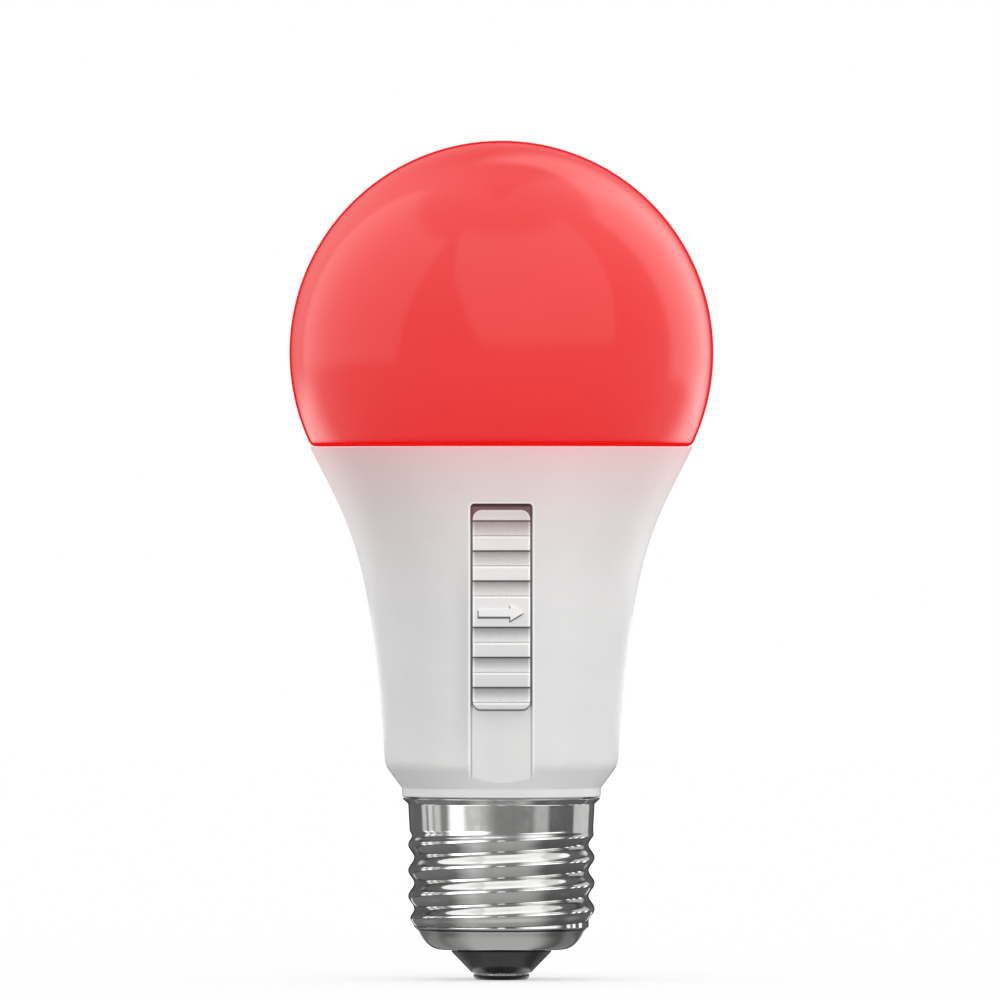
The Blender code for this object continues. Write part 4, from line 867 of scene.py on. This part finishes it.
def side_points():
    """The housing's outer side from its foot up to the rim, as closely spaced (radius, height) points."""
    knee = np.array((WAIST_RADIUS - WAIST_SLOPE * WAIST_EASE, FOOT_TOP))
    lip = np.array((LIP_RADIUS, LIP_TOP))
    below = knee + WAIST_EASE * (lip - knee) / np.linalg.norm(lip - knee)
    waist = np.array((WAIST_RADIUS, WAIST_HEIGHT))
    rim = np.array((RIM_RADIUS, HOUSING_TOP))
    low_handle = waist + WAIST_REACH * np.array((WAIST_SLOPE, 1.0))
    high_handle = rim - RIM_REACH * np.array((RIM_SLOPE, 1.0))
    points = [tuple(lip)] + corner_points(below, knee, waist, KNEE_STEPS)
    return points + curve_points(waist, low_handle, high_handle, rim, SIDE_STEPS)[1:]


SIDE = np.array(side_points())


def side_radius(height):
    return float(np.interp(height, SIDE[:, 1], SIDE[:, 0]))


def channel_half(height, offset):
    """Half the width, at a height, of the channel's outline grown by an offset. Its top corners are round."""
    rise = height - (CHANNEL_TOP - CHANNEL_CORNER)
    if rise <= 0.0:
        return CHANNEL_HALF + offset
    reach = (CHANNEL_CORNER + offset) ** 2 - rise**2
    return CHANNEL_HALF - CHANNEL_CORNER + math.sqrt(max(reach, 0.0))


def lip_drop(offset):
    """How far the channel's rounded lip lies below the housing's side, at an offset from the outline."""
    inside = min(max(CHANNEL_LIP - offset, 0.0), CHANNEL_LIP)
    return CHANNEL_LIP - math.sqrt(CHANNEL_LIP**2 - inside**2)


def front_half(radius, height, in_channel):
    """(x, depth) points at one height, from the outside of the channel's right lip to its floor's middle."""
    above = max(height - CHANNEL_TOP, 0.0)
    half = channel_half(height, 0.0)

    def side_depth(x):
        return math.sqrt(radius**2 - x**2)

    def floor_depth(x):
        return min(side_depth(x), CHANNEL_FLOOR)

    def lip_depth(x, offset):
        return max(side_depth(x) - lip_drop(max(offset, above)), floor_depth(x))

    points = []
    for offset in np.linspace(CHANNEL_LIP, 0.0, LIP_STEPS + 1):
        x = channel_half(height, offset)
        points.append((x, lip_depth(x, offset)))
    lip_end = lip_depth(half, 0.0)
    floor_end = floor_depth(half) if in_channel else lip_end
    points += [(half, depth) for depth in np.linspace(lip_end, floor_end, WALL_STEPS + 1)[1:]]
    for x in np.linspace(half, 0.0, CHANNEL_COLUMNS + 1)[1:]:
        points.append((x, floor_depth(x) if in_channel else lip_depth(x, 0.0)))
    return points


def backing_half(radius, backed):
    """(x, depth) points of the housing's inside, from the right of the channel's backing to its middle."""
    side = math.sqrt(radius**2 - BACKING_HALF**2)
    back = CHANNEL_BACK if backed else radius
    wall = np.linspace(side, min(side, back), LIP_STEPS + WALL_STEPS + 1)
    points = [(BACKING_HALF, depth) for depth in wall]
    for x in np.linspace(BACKING_HALF, 0.0, CHANNEL_COLUMNS + 1)[1:]:
        points.append((x, min(back, math.sqrt(radius**2 - x**2))))
    return points


def ring_round(height, half):
    """A ring that runs round the back on a circle and over the front along a half outline and its mirror."""
    x, depth = half[0]
    start = math.atan2(-depth, x)
    outer = math.hypot(x, depth)
    angles = np.linspace(start, math.pi - start, BACK_COLUMNS)
    ring = [(outer * math.cos(a), outer * math.sin(a), height) for a in angles]
    ring += [(-x, -depth, height) for x, depth in half[1:]]
    return ring + [(x, -depth, height) for x, depth in reversed(half[1:-1])]


def housing_heights():
    """Heights of the rows: close at the foot, where the channel runs out, and round the channel's top."""
    corner_start = CHANNEL_TOP - CHANNEL_CORNER
    lip_end = CHANNEL_TOP + CHANNEL_LIP
    foot = np.linspace(LIP_TOP + 2 * LIP_EDGE, WAIST_HEIGHT, FOOT_ROWS)
    side = np.linspace(WAIST_HEIGHT, corner_start, SIDE_ROWS)[1:]
    angles = np.linspace(0.0, math.pi / 2, CORNER_ROWS)[1:]
    corner = [corner_start + CHANNEL_CORNER * math.sin(angle) for angle in angles]
    lip = np.linspace(CHANNEL_TOP, lip_end, LIP_ROWS)
    rim = np.linspace(lip_end, HOUSING_TOP, RIM_ROWS)[1:]
    return [*foot, *side, *corner], [*lip, *rim]


def housing_outside():
    """Rings of the neck, the lip at the bottom, the side with its channel, and the rim."""
    edge = [(NECK_RADIUS, NECK_BOTTOM), (NECK_RADIUS, HOUSING_BOTTOM), (LIP_RADIUS, HOUSING_BOTTOM)]
    edge += [(LIP_RADIUS, LIP_TOP), (side_radius(LIP_TOP + 2 * LIP_EDGE), LIP_TOP + 2 * LIP_EDGE)]
    with_channel, above = housing_heights()
    bead = arc_points((RIM_RADIUS - RIM_BEAD, HOUSING_TOP), RIM_BEAD, 0.0, math.pi / 2, EDGE_STEPS)
    rows = [(r, z, False) for r, z in eased(edge, LIP_EDGE)[:-1]]
    rows += [(side_radius(z), z, True) for z in with_channel]
    rows += [(side_radius(z), z, False) for z in above]
    rows += [(r, z, False) for r, z in bead[1:]]
    return [ring_round(z, front_half(r, z, in_channel)) for r, z, in_channel in rows]


def housing_inside():
    """Rings of the seal groove, mouth, ledge, side wall, floor and neck bore, from the top down."""
    rim = HOUSING_TOP + RIM_BEAD
    profile = [(SEAL_GROOVE_RADIUS, rim), (SEAL_GROOVE_RADIUS, SEAL_GROOVE_FLOOR)]
    profile += [(MOUTH_RADIUS, SEAL_GROOVE_FLOOR), (MOUTH_RADIUS, MOUTH_FLOOR), (SINK_SEAT, MOUTH_FLOOR)]
    profile += [(SINK_SEAT, LEDGE_HEIGHT), (LEDGE_RADIUS, LEDGE_HEIGHT), (LEDGE_RADIUS, BACKING_TOP)]
    rings = [ring_round(z, backing_half(r, False)) for r, z in profile]
    heights = np.linspace(BACKING_TOP, WAIST_HEIGHT, INSIDE_ROWS)
    wall = [(min(side_radius(z) - HOUSING_WALL, LEDGE_RADIUS), z) for z in heights]
    wall += [(FLOOR_RADIUS, FLOOR_HEIGHT), (NECK_BORE, FLOOR_HEIGHT), (NECK_BORE, NECK_BOTTOM)]
    return rings + [ring_round(z, backing_half(r, True)) for r, z in wall]


def build_body():
    mesh = loft("lamp_body", housing_outside() + housing_inside(), closed=True)
    body = place("lamp_body", mesh, housing_look())
    slot_top = SLIDER_CENTRE + STEM_LENGTH / 2 + FIT_GAP
    slot_bottom = SLIDER_CENTRE - STEM_LENGTH / 2 - SLIDER_TRAVEL - FIT_GAP
    back = CHANNEL_BACK - CUT_MARGIN
    slot = block("stem_slot", SLOT_WIDTH / 2, back, CHANNEL_FLOOR + CUT_MARGIN, slot_bottom, slot_top)
    combine(body, slot, "DIFFERENCE")
    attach(body, "lamp")
    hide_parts("housing")


# Slide button


def groove_points(bottom, top):
    """A groove of the button: a fine crease over the lower ridge, a hollow, and an undercut at the top."""
    points = [(SLIDER_FRONT - CREASE_DEPTH, bottom + CREASE_HEIGHT / 2)]
    start = bottom + CREASE_HEIGHT
    end = top - UNDERCUT_HEIGHT
    for share in np.linspace(0.0, 1.0, SCOOP_STEPS + 1):
        depth = SLIDER_FRONT - SCOOP_EDGE - SCOOP_DEPTH * math.sin(share * math.pi / 2)
        points.append((depth, start + share * (end - start)))
    return [*points, (SLIDER_FRONT - UNDERCUT_DEPTH, end), (SLIDER_FRONT - UNDERCUT_DEPTH, top)]


def ridge_points(bottom, top, low_edge, high_edge):
    """One ridge of the button, with its lower and upper edges rounded."""
    quarter = math.pi / 2
    low_centre = (SLIDER_FRONT - low_edge, bottom + low_edge)
    high_centre = (SLIDER_FRONT - high_edge, top - high_edge)
    points = arc_points(low_centre, low_edge, -quarter, 0.0, EDGE_STEPS)
    return points + arc_points(high_centre, high_edge, 0.0, quarter, EDGE_STEPS)


def slider_profile():
    """The button's front in (depth, height), from its sloped lower end up, ridges and grooves by turns."""
    side = [GROOVE_HEIGHT, RIDGE_HEIGHT, GROOVE_HEIGHT, RIDGE_HEIGHT, GROOVE_HEIGHT]
    bands = [SLIDER_BOTTOM_BAND, *side, SLIDER_CENTRE_BAND, *side, SLIDER_TOP_BAND]
    edges = np.cumsum([SLIDER_BOTTOM, *bands])
    points = [(SLIDER_BACK + 2 * SLIDER_SIDE_EDGE, SLIDER_BOTTOM)]
    points += ridge_points(SLIDER_BOTTOM + SLIDER_END_DRAFT, edges[1], SLIDER_END_EDGE, RIDGE_EDGE)
    for index in range(1, len(bands) - 1):
        if index % 2:
            points += groove_points(edges[index], edges[index + 1])
        else:
            points += ridge_points(edges[index], edges[index + 1], RIDGE_EDGE, RIDGE_EDGE)
    return points + ridge_points(edges[-2], edges[-1], RIDGE_EDGE, SLIDER_END_EDGE)


def slider_half(height, foot_corner):
    """Half the button's width at a height, with its four corners rounded."""
    half = SLIDER_HALF
    for corner, left in ((foot_corner, height - SLIDER_BOTTOM), (SLIDER_CORNER, SLIDER_TOP - height)):
        into = max(corner - left, 0.0)
        half -= corner - math.sqrt(max(corner**2 - into**2, 0.0))
    return half


def slider_ring(depth, height):
    half = slider_half(height, SLIDER_FOOT_CORNER)
    back_half = slider_half(height, SLIDER_BACK_CORNER)
    edge = SLIDER_SIDE_EDGE
    right = arc_points((half - edge, depth - edge), edge, 0.0, math.pi / 2, EDGE_STEPS)
    outline = [(back_half, SLIDER_BACK), *right]
    outline += [(x, depth) for x in np.linspace(half - edge, edge - half, SLIDER_COLUMNS + 1)[1:-1]]
    outline += [(-x, d) for x, d in reversed(right)] + [(-back_half, SLIDER_BACK)]
    return [(x, -d, height) for x, d in outline]


def slider_rows():
    """The profile with extra rows in the rounded corners, so that the corners are round too."""
    rows = []
    profile = slider_profile()
    for first, second in zip(profile, profile[1:]):
        rows.append(first)
        in_corner = min(first[1] - SLIDER_BOTTOM, SLIDER_TOP - second[1]) < SLIDER_FOOT_CORNER
        extra = EXTRA_ROWS if in_corner else 0
        for share in np.linspace(0.0, 1.0, extra + 2)[1:-1]:
            rows.append(tuple(a + share * (b - a) for a, b in zip(first, second)))
    return [*rows, profile[-1]]


def arrow_outline(shift_x, shift_z):
    """(x, height) corners of a plain arrow that points to +X."""
    tip = ARROW_LENGTH / 2
    neck = tip - ARROW_HEAD_LENGTH
    shaft = ARROW_SHAFT / 2
    wing = ARROW_HEAD_WIDTH / 2
    lower = [(-tip, -shaft), (neck, -shaft), (neck, -wing)]
    upper = [(neck, wing), (neck, shaft), (-tip, shaft)]
    middle = SLIDER_CENTRE - ARROW_DROP + shift_z
    return [(x + shift_x, z + middle) for x, z in [*lower, (tip, 0.0), *upper]]


def arrow_mesh(name, outline, back, front, edge):
    """An upright plate with an arrow's outline, between two depths. An edge above 0 eases its front."""
    shape = bmesh.new()
    layers = [[shape.verts.new((x, -depth, z)) for x, z in outline] for depth in (back, front)]
    shape.faces.new(layers[0])
    shape.faces.new(layers[1])
    for index in range(len(outline)):
        after = (index + 1) % len(outline)
        shape.faces.new((layers[0][index], layers[0][after], layers[1][after], layers[1][index]))
    bmesh.ops.recalc_face_normals(shape, faces=shape.faces)
    if edge > 0.0:
        raised = set(layers[1])
        rim = [side for side in shape.edges if set(side.verts) <= raised]
        bmesh.ops.bevel(shape, geom=rim, offset=edge, segments=2, profile=0.5, affect="EDGES")
    mesh = bpy.data.meshes.new(name)
    shape.to_mesh(mesh)
    shape.free()
    return mesh


def add_arrow(slider):
    """Cut a fine line that shows below and behind the arrow, then raise the arrow over it."""
    shadow = arrow_outline(*SHADE_LINE_SHIFT)
    cut_back = SLIDER_FRONT - SHADE_LINE_DEPTH
    combine(slider, arrow_mesh("shade_line", shadow, cut_back, SLIDER_FRONT + CUT_MARGIN, 0.0), "DIFFERENCE")
    outline = arrow_outline(0.0, 0.0)
    root = SLIDER_FRONT - ARROW_ROOT
    combine(slider, arrow_mesh("arrow", outline, root, SLIDER_FRONT + ARROW_HEIGHT, ARROW_EDGE), "UNION")


def build_slider():
    rings = [slider_ring(depth, height) for depth, height in slider_rows()]
    slider = place("switch_button", loft("switch_button", rings, capped=True), slider_look())
    add_arrow(slider)
    bottom = SLIDER_CENTRE - STEM_LENGTH / 2
    top = SLIDER_CENTRE + STEM_LENGTH / 2
    combine(slider, block("stem", STEM_WIDTH / 2, STEM_END, SLIDER_BACK + JOIN_OVERLAP, bottom, top), "UNION")
    barb_back = STEM_END + JOIN_OVERLAP / 2
    barb_bottom = bottom + JOIN_OVERLAP
    barb_top = top - JOIN_OVERLAP
    combine(slider, block("barb", BARB_WIDTH / 2, barb_back, BARB_FRONT, barb_bottom, barb_top), "UNION")
    lever_half = high("switch_lever").x / LEVER_TO_TIP + FIT_GAP
    pocket_reach = POCKET_REACH + FIT_GAP
    pocket_low = SLIDER_CENTRE - pocket_reach
    pocket_high = SLIDER_CENTRE + pocket_reach
    pocket = block("pocket", lever_half, STEM_END - CUT_MARGIN, POCKET_FLOOR, pocket_low, pocket_high)
    combine(slider, pocket, "DIFFERENCE")
    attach(slider, "slide_button")
    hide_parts("slider_button")


# Screw base


def thread_radius(angle, height):
    """Radius of the rounded right-hand screw thread, fading to the collar above and to the root below."""
    phase = (height - THREAD_TOP) / THREAD_PITCH - angle / (2 * math.pi)
    groove = 0.5 - 0.5 * math.cos(2 * math.pi * phase)
    collar = THREAD_RADIUS - COLLAR_TAPER
    thread = THREAD_RADIUS - THREAD_DEPTH * groove
    radius = collar + (thread - collar) * ease((COLLAR_BOTTOM - height) / COLLAR_FADE)
    run_out = ease((THREAD_BOTTOM + THREAD_FADE - height) / THREAD_FADE)
    return radius + (THREAD_ROOT - radius) * run_out


def thread_ring(height):
    points = []
    for index in range(SHELL_AROUND):
        angle = 2 * math.pi * index / SHELL_AROUND
        radius = thread_radius(angle, height)
        points.append((radius * math.cos(angle), radius * math.sin(angle), height))
    return points


def bowl_points(wall, bottom):
    """The rounded lower end of the screw shell, inside or outside, from its flat up to the thread."""
    top = (THREAD_ROOT - BOWL_STEP - wall, BOWL_TOP)
    corner = (THREAD_ROOT - BOWL_CORNER_INSET - wall, bottom)
    flat = (THREAD_ROOT - BOWL_FLAT_INSET, bottom)
    return corner_points(flat, corner, top, BOWL_STEPS)


def build_shell():
    rows = round(ROWS_PER_TURN * (COLLAR_BOTTOM - THREAD_BOTTOM) / THREAD_PITCH)
    lower = [(SHELL_MOUTH, SHELL_BOTTOM), *bowl_points(0.0, SHELL_BOTTOM)]
    rings = [circle(radius, height, SHELL_AROUND) for radius, height in lower]
    rings += [thread_ring(height) for height in np.linspace(THREAD_BOTTOM, COLLAR_BOTTOM, rows + 1)]
    collar = [(THREAD_RADIUS - COLLAR_TAPER, COLLAR_BOTTOM), (THREAD_RADIUS, COLLAR_TOP)]
    collar += [(SHELL_FLANGE_RADIUS, SHELL_TOP - FLANGE_EDGE)]
    collar += [(SHELL_FLANGE_RADIUS, SHELL_TOP), (SHELL_BORE, SHELL_TOP), (SHELL_BORE, THREAD_BOTTOM)]
    upper = eased(collar, FLANGE_EDGE)[1:]
    upper += list(reversed(bowl_points(SHELL_WALL, SHELL_BOTTOM + SHELL_WALL)))
    upper += [(SHELL_MOUTH, SHELL_BOTTOM + SHELL_WALL)]
    rings += [circle(radius, height, SHELL_AROUND) for radius, height in upper]
    shell = place("screw_shell", loft("screw_shell", rings, closed=True), nickel_look())
    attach(shell, "lamp")
    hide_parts("base_shell")


def build_insulator():
    bore = RIVET_RADIUS + FIT_GAP
    profile = [(bore, INSULATOR_BOTTOM), (INSULATOR_TIP_RADIUS, INSULATOR_BOTTOM)]
    profile += [(INSULATOR_TOP_RADIUS, INSULATOR_CONE_TOP), (INSULATOR_NECK, INSULATOR_CONE_TOP)]
    profile += [(INSULATOR_NECK, INSULATOR_FLANGE_BOTTOM), (INSULATOR_FLANGE, INSULATOR_FLANGE_BOTTOM)]
    profile += [(INSULATOR_FLANGE, INSULATOR_TOP), (bore, INSULATOR_TOP)]
    cone = turned("insulator_cone", eased(profile, INSULATOR_EDGE), SHELL_AROUND // 2)
    piece = place("insulator_cone", cone, insulator_look())
    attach(piece, "lamp")
    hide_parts("base_insulator")


def build_contact():
    profile = [(0.0, 0.0)]
    rim = (CONTACT_RADIUS - CONTACT_EDGE, CONTACT_EDGE)
    profile += arc_points(rim, CONTACT_EDGE, -math.pi / 2, 0.0, 2 * EDGE_STEPS)
    profile += [(CONTACT_RADIUS, CONTACT_THICKNESS), (RIVET_RADIUS, CONTACT_THICKNESS)]
    profile += [(RIVET_RADIUS, RIVET_TOP), (0.0, RIVET_TOP)]
    piece = place("contact_button", turned("contact_button", profile, SHELL_AROUND // 2), contact_look())
    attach(piece, "lamp")
    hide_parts("centre_contact")


# Inner pieces keep their solids and get a finish


def finish_inner_pieces():
    looks = {entry["slot"]: entry for entry in frame["record"]["materials"]}
    made = {}
    for part in frame["record"]["subparts"]:
        node = frame["nodes"][part["node"]]
        if node.hide_render:
            continue
        slot = part["material_slot"]
        if slot not in made:
            made[slot] = inner_look(looks[slot])
        for holder in node.material_slots:
            holder.material = made[slot]


# Studio


def build_camera():
    data = bpy.data.cameras.new("camera")
    data.sensor_width = SENSOR_WIDTH
    data.lens = SENSOR_WIDTH * VIEW_DISTANCE / VIEW_WIDTH
    data.clip_end = 4 * VIEW_DISTANCE
    camera = place("camera", data)
    camera.location = VIEW_CENTRE - Vector((0.0, VIEW_DISTANCE, 0.0))
    camera.rotation_euler = (math.pi / 2, 0.0, 0.0)
    bpy.context.scene.camera = camera


def softbox(name, direction, distance, size, level):
    """An area lamp for the matt surfaces. A level of 1 lights a white card that faces it to full white."""
    data = bpy.data.lights.new(name, "AREA")
    data.shape = "SQUARE"
    data.size = size
    data.energy = level * (math.pi * distance) ** 2
    data.use_shadow = False
    lamp = place(name, data)
    lamp.visible_camera = False
    lamp.visible_glossy = False
    towards = Vector(direction).normalized()
    lamp.location = VIEW_CENTRE + distance * towards
    lamp.rotation_euler = towards.to_track_quat("Z", "Y").to_euler()


def window(value, start, end, soft):
    """1 inside a range and 0 outside it, with a soft border centred on each end."""
    return ease((value - start) / soft + 0.5) * ease((end - value) / soft + 0.5)


def cards(azimuth, row):
    """Brightness of a row of upright cards at an azimuth."""
    return sum(level * window(azimuth, start, end, soft) for level, start, end, soft in row)


def sky_level(azimuth, elevation):
    """Brightness of the studio as gloss mirrors it: a pale room, large panels and a dark wall behind."""
    room = 1.0 + 0.45 * ease(elevation / 65) - 0.35 * ease(-elevation / 45)
    room -= 0.5 * ease((-elevation - 48) / 14)
    front_panel = window(azimuth, -9 - elevation / 1.9, 62 + elevation / 4, 5) * window(elevation, 4, 66, 12)
    left_panel = window(azimuth, -136, -58 + elevation / 6, 6) * window(elevation, -4, 58, 7)
    room += 0.50 * front_panel + 0.52 * left_panel
    wall = 0.36 * ease(elevation / 24) + 0.80 * ease((elevation - 36) / 44)
    turn = ease((163 - azimuth) / 24) if azimuth > 0 else ease((180 + azimuth) / 60)
    around = azimuth % 360
    right_end = 168 + max(elevation - 25, 0)
    right_panel = ease((around - 99) / 10) * ease((right_end - around) / 24) * window(elevation, -8, 55, 8)
    low_panels = ease((abs(azimuth) - 116) / 24) * window(elevation, -62, -6, 8)
    return wall + (room - wall) * turn + 0.76 * right_panel + 0.85 * low_panels


def ground_level(azimuth, reach):
    """Brightness of the ground round the screw base: dark, with paler patches in front and close in."""
    left_patch = window(azimuth, -50, -22, 18) * window(reach, 0.016, 0.034, 0.006)
    front_patch = window(azimuth, -70, 60, 30) * window(reach, 0.0, 0.0150, 0.003)
    side_patches = window(abs(azimuth), 80, 130, 20) * window(reach, 0.0, 0.020, 0.006)
    level = 0.15 + cards(azimuth, GROUND_CARDS)
    return level + 0.18 * left_patch + 0.22 * front_patch + 0.14 * side_patches


def strip_level(azimuth, height):
    """Brightness of the upright strips that the collar and the thread's crests and roots mirror."""
    off_collar = window(height, 0.004, 0.0149, 0.001) + window(height, 0.0212, 0.0264, 0.001)
    low_down = window(height, -0.010, 0.0125, 0.002)
    level = 0.03 + cards(azimuth, STRIPS) + off_collar * cards(azimuth, THREAD_STRIPS)
    level += (1.0 - low_down) * cards(azimuth, HIGH_STRIPS)
    return level + low_down * cards(azimuth, LOW_STRIPS)


def upper_level(azimuth, height):
    """Brightness of the cards that the thread's upper flanks mirror, with a dark band that draws a line."""
    dark_band = window(height, 0.0300, 0.0360, 0.003)
    level = (0.04 + cards(azimuth, UPPER_CARDS)) * (1.0 - 0.55 * dark_band)
    back_card = ease((abs(azimuth) - 118) / 24) * ease((height - 0.030) / 0.004)
    return level + 1.9 * back_card


def tent_level(azimuth, height):
    """Brightness of the wall of cards round the screw base."""
    back_foot = window(abs(azimuth), 140, 220, 20) * window(height, 0.0010, 0.0040, 0.001)
    foot = 0.10 + 0.9 * back_foot
    strips = strip_level(azimuth, height)
    upper = upper_level(azimuth, height)
    low_part = ease((height - 0.003) / 0.003)
    high_part = ease((height - TENT_LOW) / 0.002)
    return foot + (strips - foot) * low_part + (upper - strips) * high_part


def reflector_material():
    """Plain white emission whose strength is stored at each point of the reflector."""
    material = bpy.data.materials.new("reflector")
    material.use_nodes = True
    material.cycles.emission_sampling = "NONE"
    nodes = material.node_tree.nodes
    nodes.clear()
    level = nodes.new("ShaderNodeAttribute")
    level.attribute_name = "level"
    glow = nodes.new("ShaderNodeEmission")
    output = nodes.new("ShaderNodeOutputMaterial")
    material.node_tree.links.new(level.outputs["Fac"], glow.inputs["Strength"])
    material.node_tree.links.new(glow.outputs["Emission"], output.inputs["Surface"])
    return material


def reflector(name, rows, columns, material):
    """A sheet round the axis that shows in reflections only, with a brightness at each of its points.

    A row is a distance from the axis, a height, and a brightness function with its value beside the azimuth,
    which is in degrees from the switch side towards +X.
    """
    azimuths = np.linspace(-180.0, 180.0, columns)
    sides = [(math.sin(angle), -math.cos(angle)) for angle in np.radians(azimuths)]
    points = [(reach * x, reach * y, height) for reach, height, _, _ in rows for x, y in sides]
    levels = [level(azimuth, value) for _, _, level, value in rows for azimuth in azimuths]
    faces = []
    for row in range(len(rows) - 1):
        for corner in range(row * columns, (row + 1) * columns - 1):
            faces.append((corner, corner + 1, corner + columns + 1, corner + columns))
    mesh = bpy.data.meshes.new(name)
    mesh.from_pydata(points, [], faces)
    mesh.attributes.new("level", "FLOAT", "POINT").data.foreach_set("value", levels)
    sheet = place(name, mesh, material)
    sheet.visible_camera = False
    sheet.visible_diffuse = False
    sheet.visible_shadow = False


def build_reflectors():
    """A wide sky for the dome and the plastic, and a tent of cards close round the screw base."""
    material = reflector_material()
    sky = []
    for elevation in np.linspace(-90.0, 90.0, SKY_ROWS):
        reach = SKY_RADIUS * math.cos(math.radians(elevation))
        height = DOME_CENTRE + SKY_RADIUS * math.sin(math.radians(elevation))
        sky.append((reach, height, sky_level, elevation))
    reflector("sky", sky, SKY_COLUMNS, material)
    reaches = np.linspace(TENT_INNER, TENT_RADIUS, GROUND_ROWS)
    heights = np.linspace(0.0, TENT_HIGH, TENT_ROWS)[1:]
    tent = [(reach, TENT_LIFT, ground_level, reach) for reach in reaches]
    tent += [(TENT_RADIUS, height, tent_level, height) for height in heights]
    reflector("tent", tent, TENT_COLUMNS, material)


def build_floor():
    mesh = bpy.data.meshes.new("floor")
    corners = [(x * FLOOR_HALF, y * FLOOR_HALF, 0.0) for x, y in ((-1, -1), (1, -1), (1, 1), (-1, 1))]
    mesh.from_pydata(corners, [], [(0, 1, 2, 3)])
    look = Surface("floor", base_color=FLOOR_GREY, roughness=1.0, specular_ior_level=0.0)
    floor = place("floor", mesh, look.material)
    floor.is_shadow_catcher = True
    floor.visible_glossy = False


def build_world():
    """White where it is seen or mirrored, and a plain grey as light."""
    world = bpy.data.worlds.new("studio")
    world.use_nodes = True
    nodes = world.node_tree.nodes
    links = world.node_tree.links
    path = nodes.new("ShaderNodeLightPath")
    seen = path.outputs["Is Camera Ray"]
    for name in ("Is Glossy Ray", "Is Transmission Ray"):
        either = nodes.new("ShaderNodeMath")
        either.operation = "MAXIMUM"
        links.new(seen, either.inputs[0])
        links.new(path.outputs[name], either.inputs[1])
        seen = either.outputs[0]
    mix = nodes.new("ShaderNodeMix")
    mix.data_type = "RGBA"
    for index, level in zip(MIX_COLOURS, (AMBIENT, 1.0)):
        mix.inputs[index].default_value = (level, level, level, 1.0)
    links.new(seen, mix.inputs["Factor"])
    links.new(mix.outputs[MIX_RESULT], nodes["Background"].inputs["Color"])
    bpy.context.scene.world = world


def build_studio():
    build_camera()
    build_world()
    build_floor()
    build_reflectors()
    for name, settings in SOFTBOXES.items():
        softbox(name, *settings)
    bpy.context.scene.view_settings.view_transform = "Standard"


build_globe()
build_body()
build_slider()
build_shell()
build_insulator()
build_contact()
finish_inner_pieces()
build_studio()
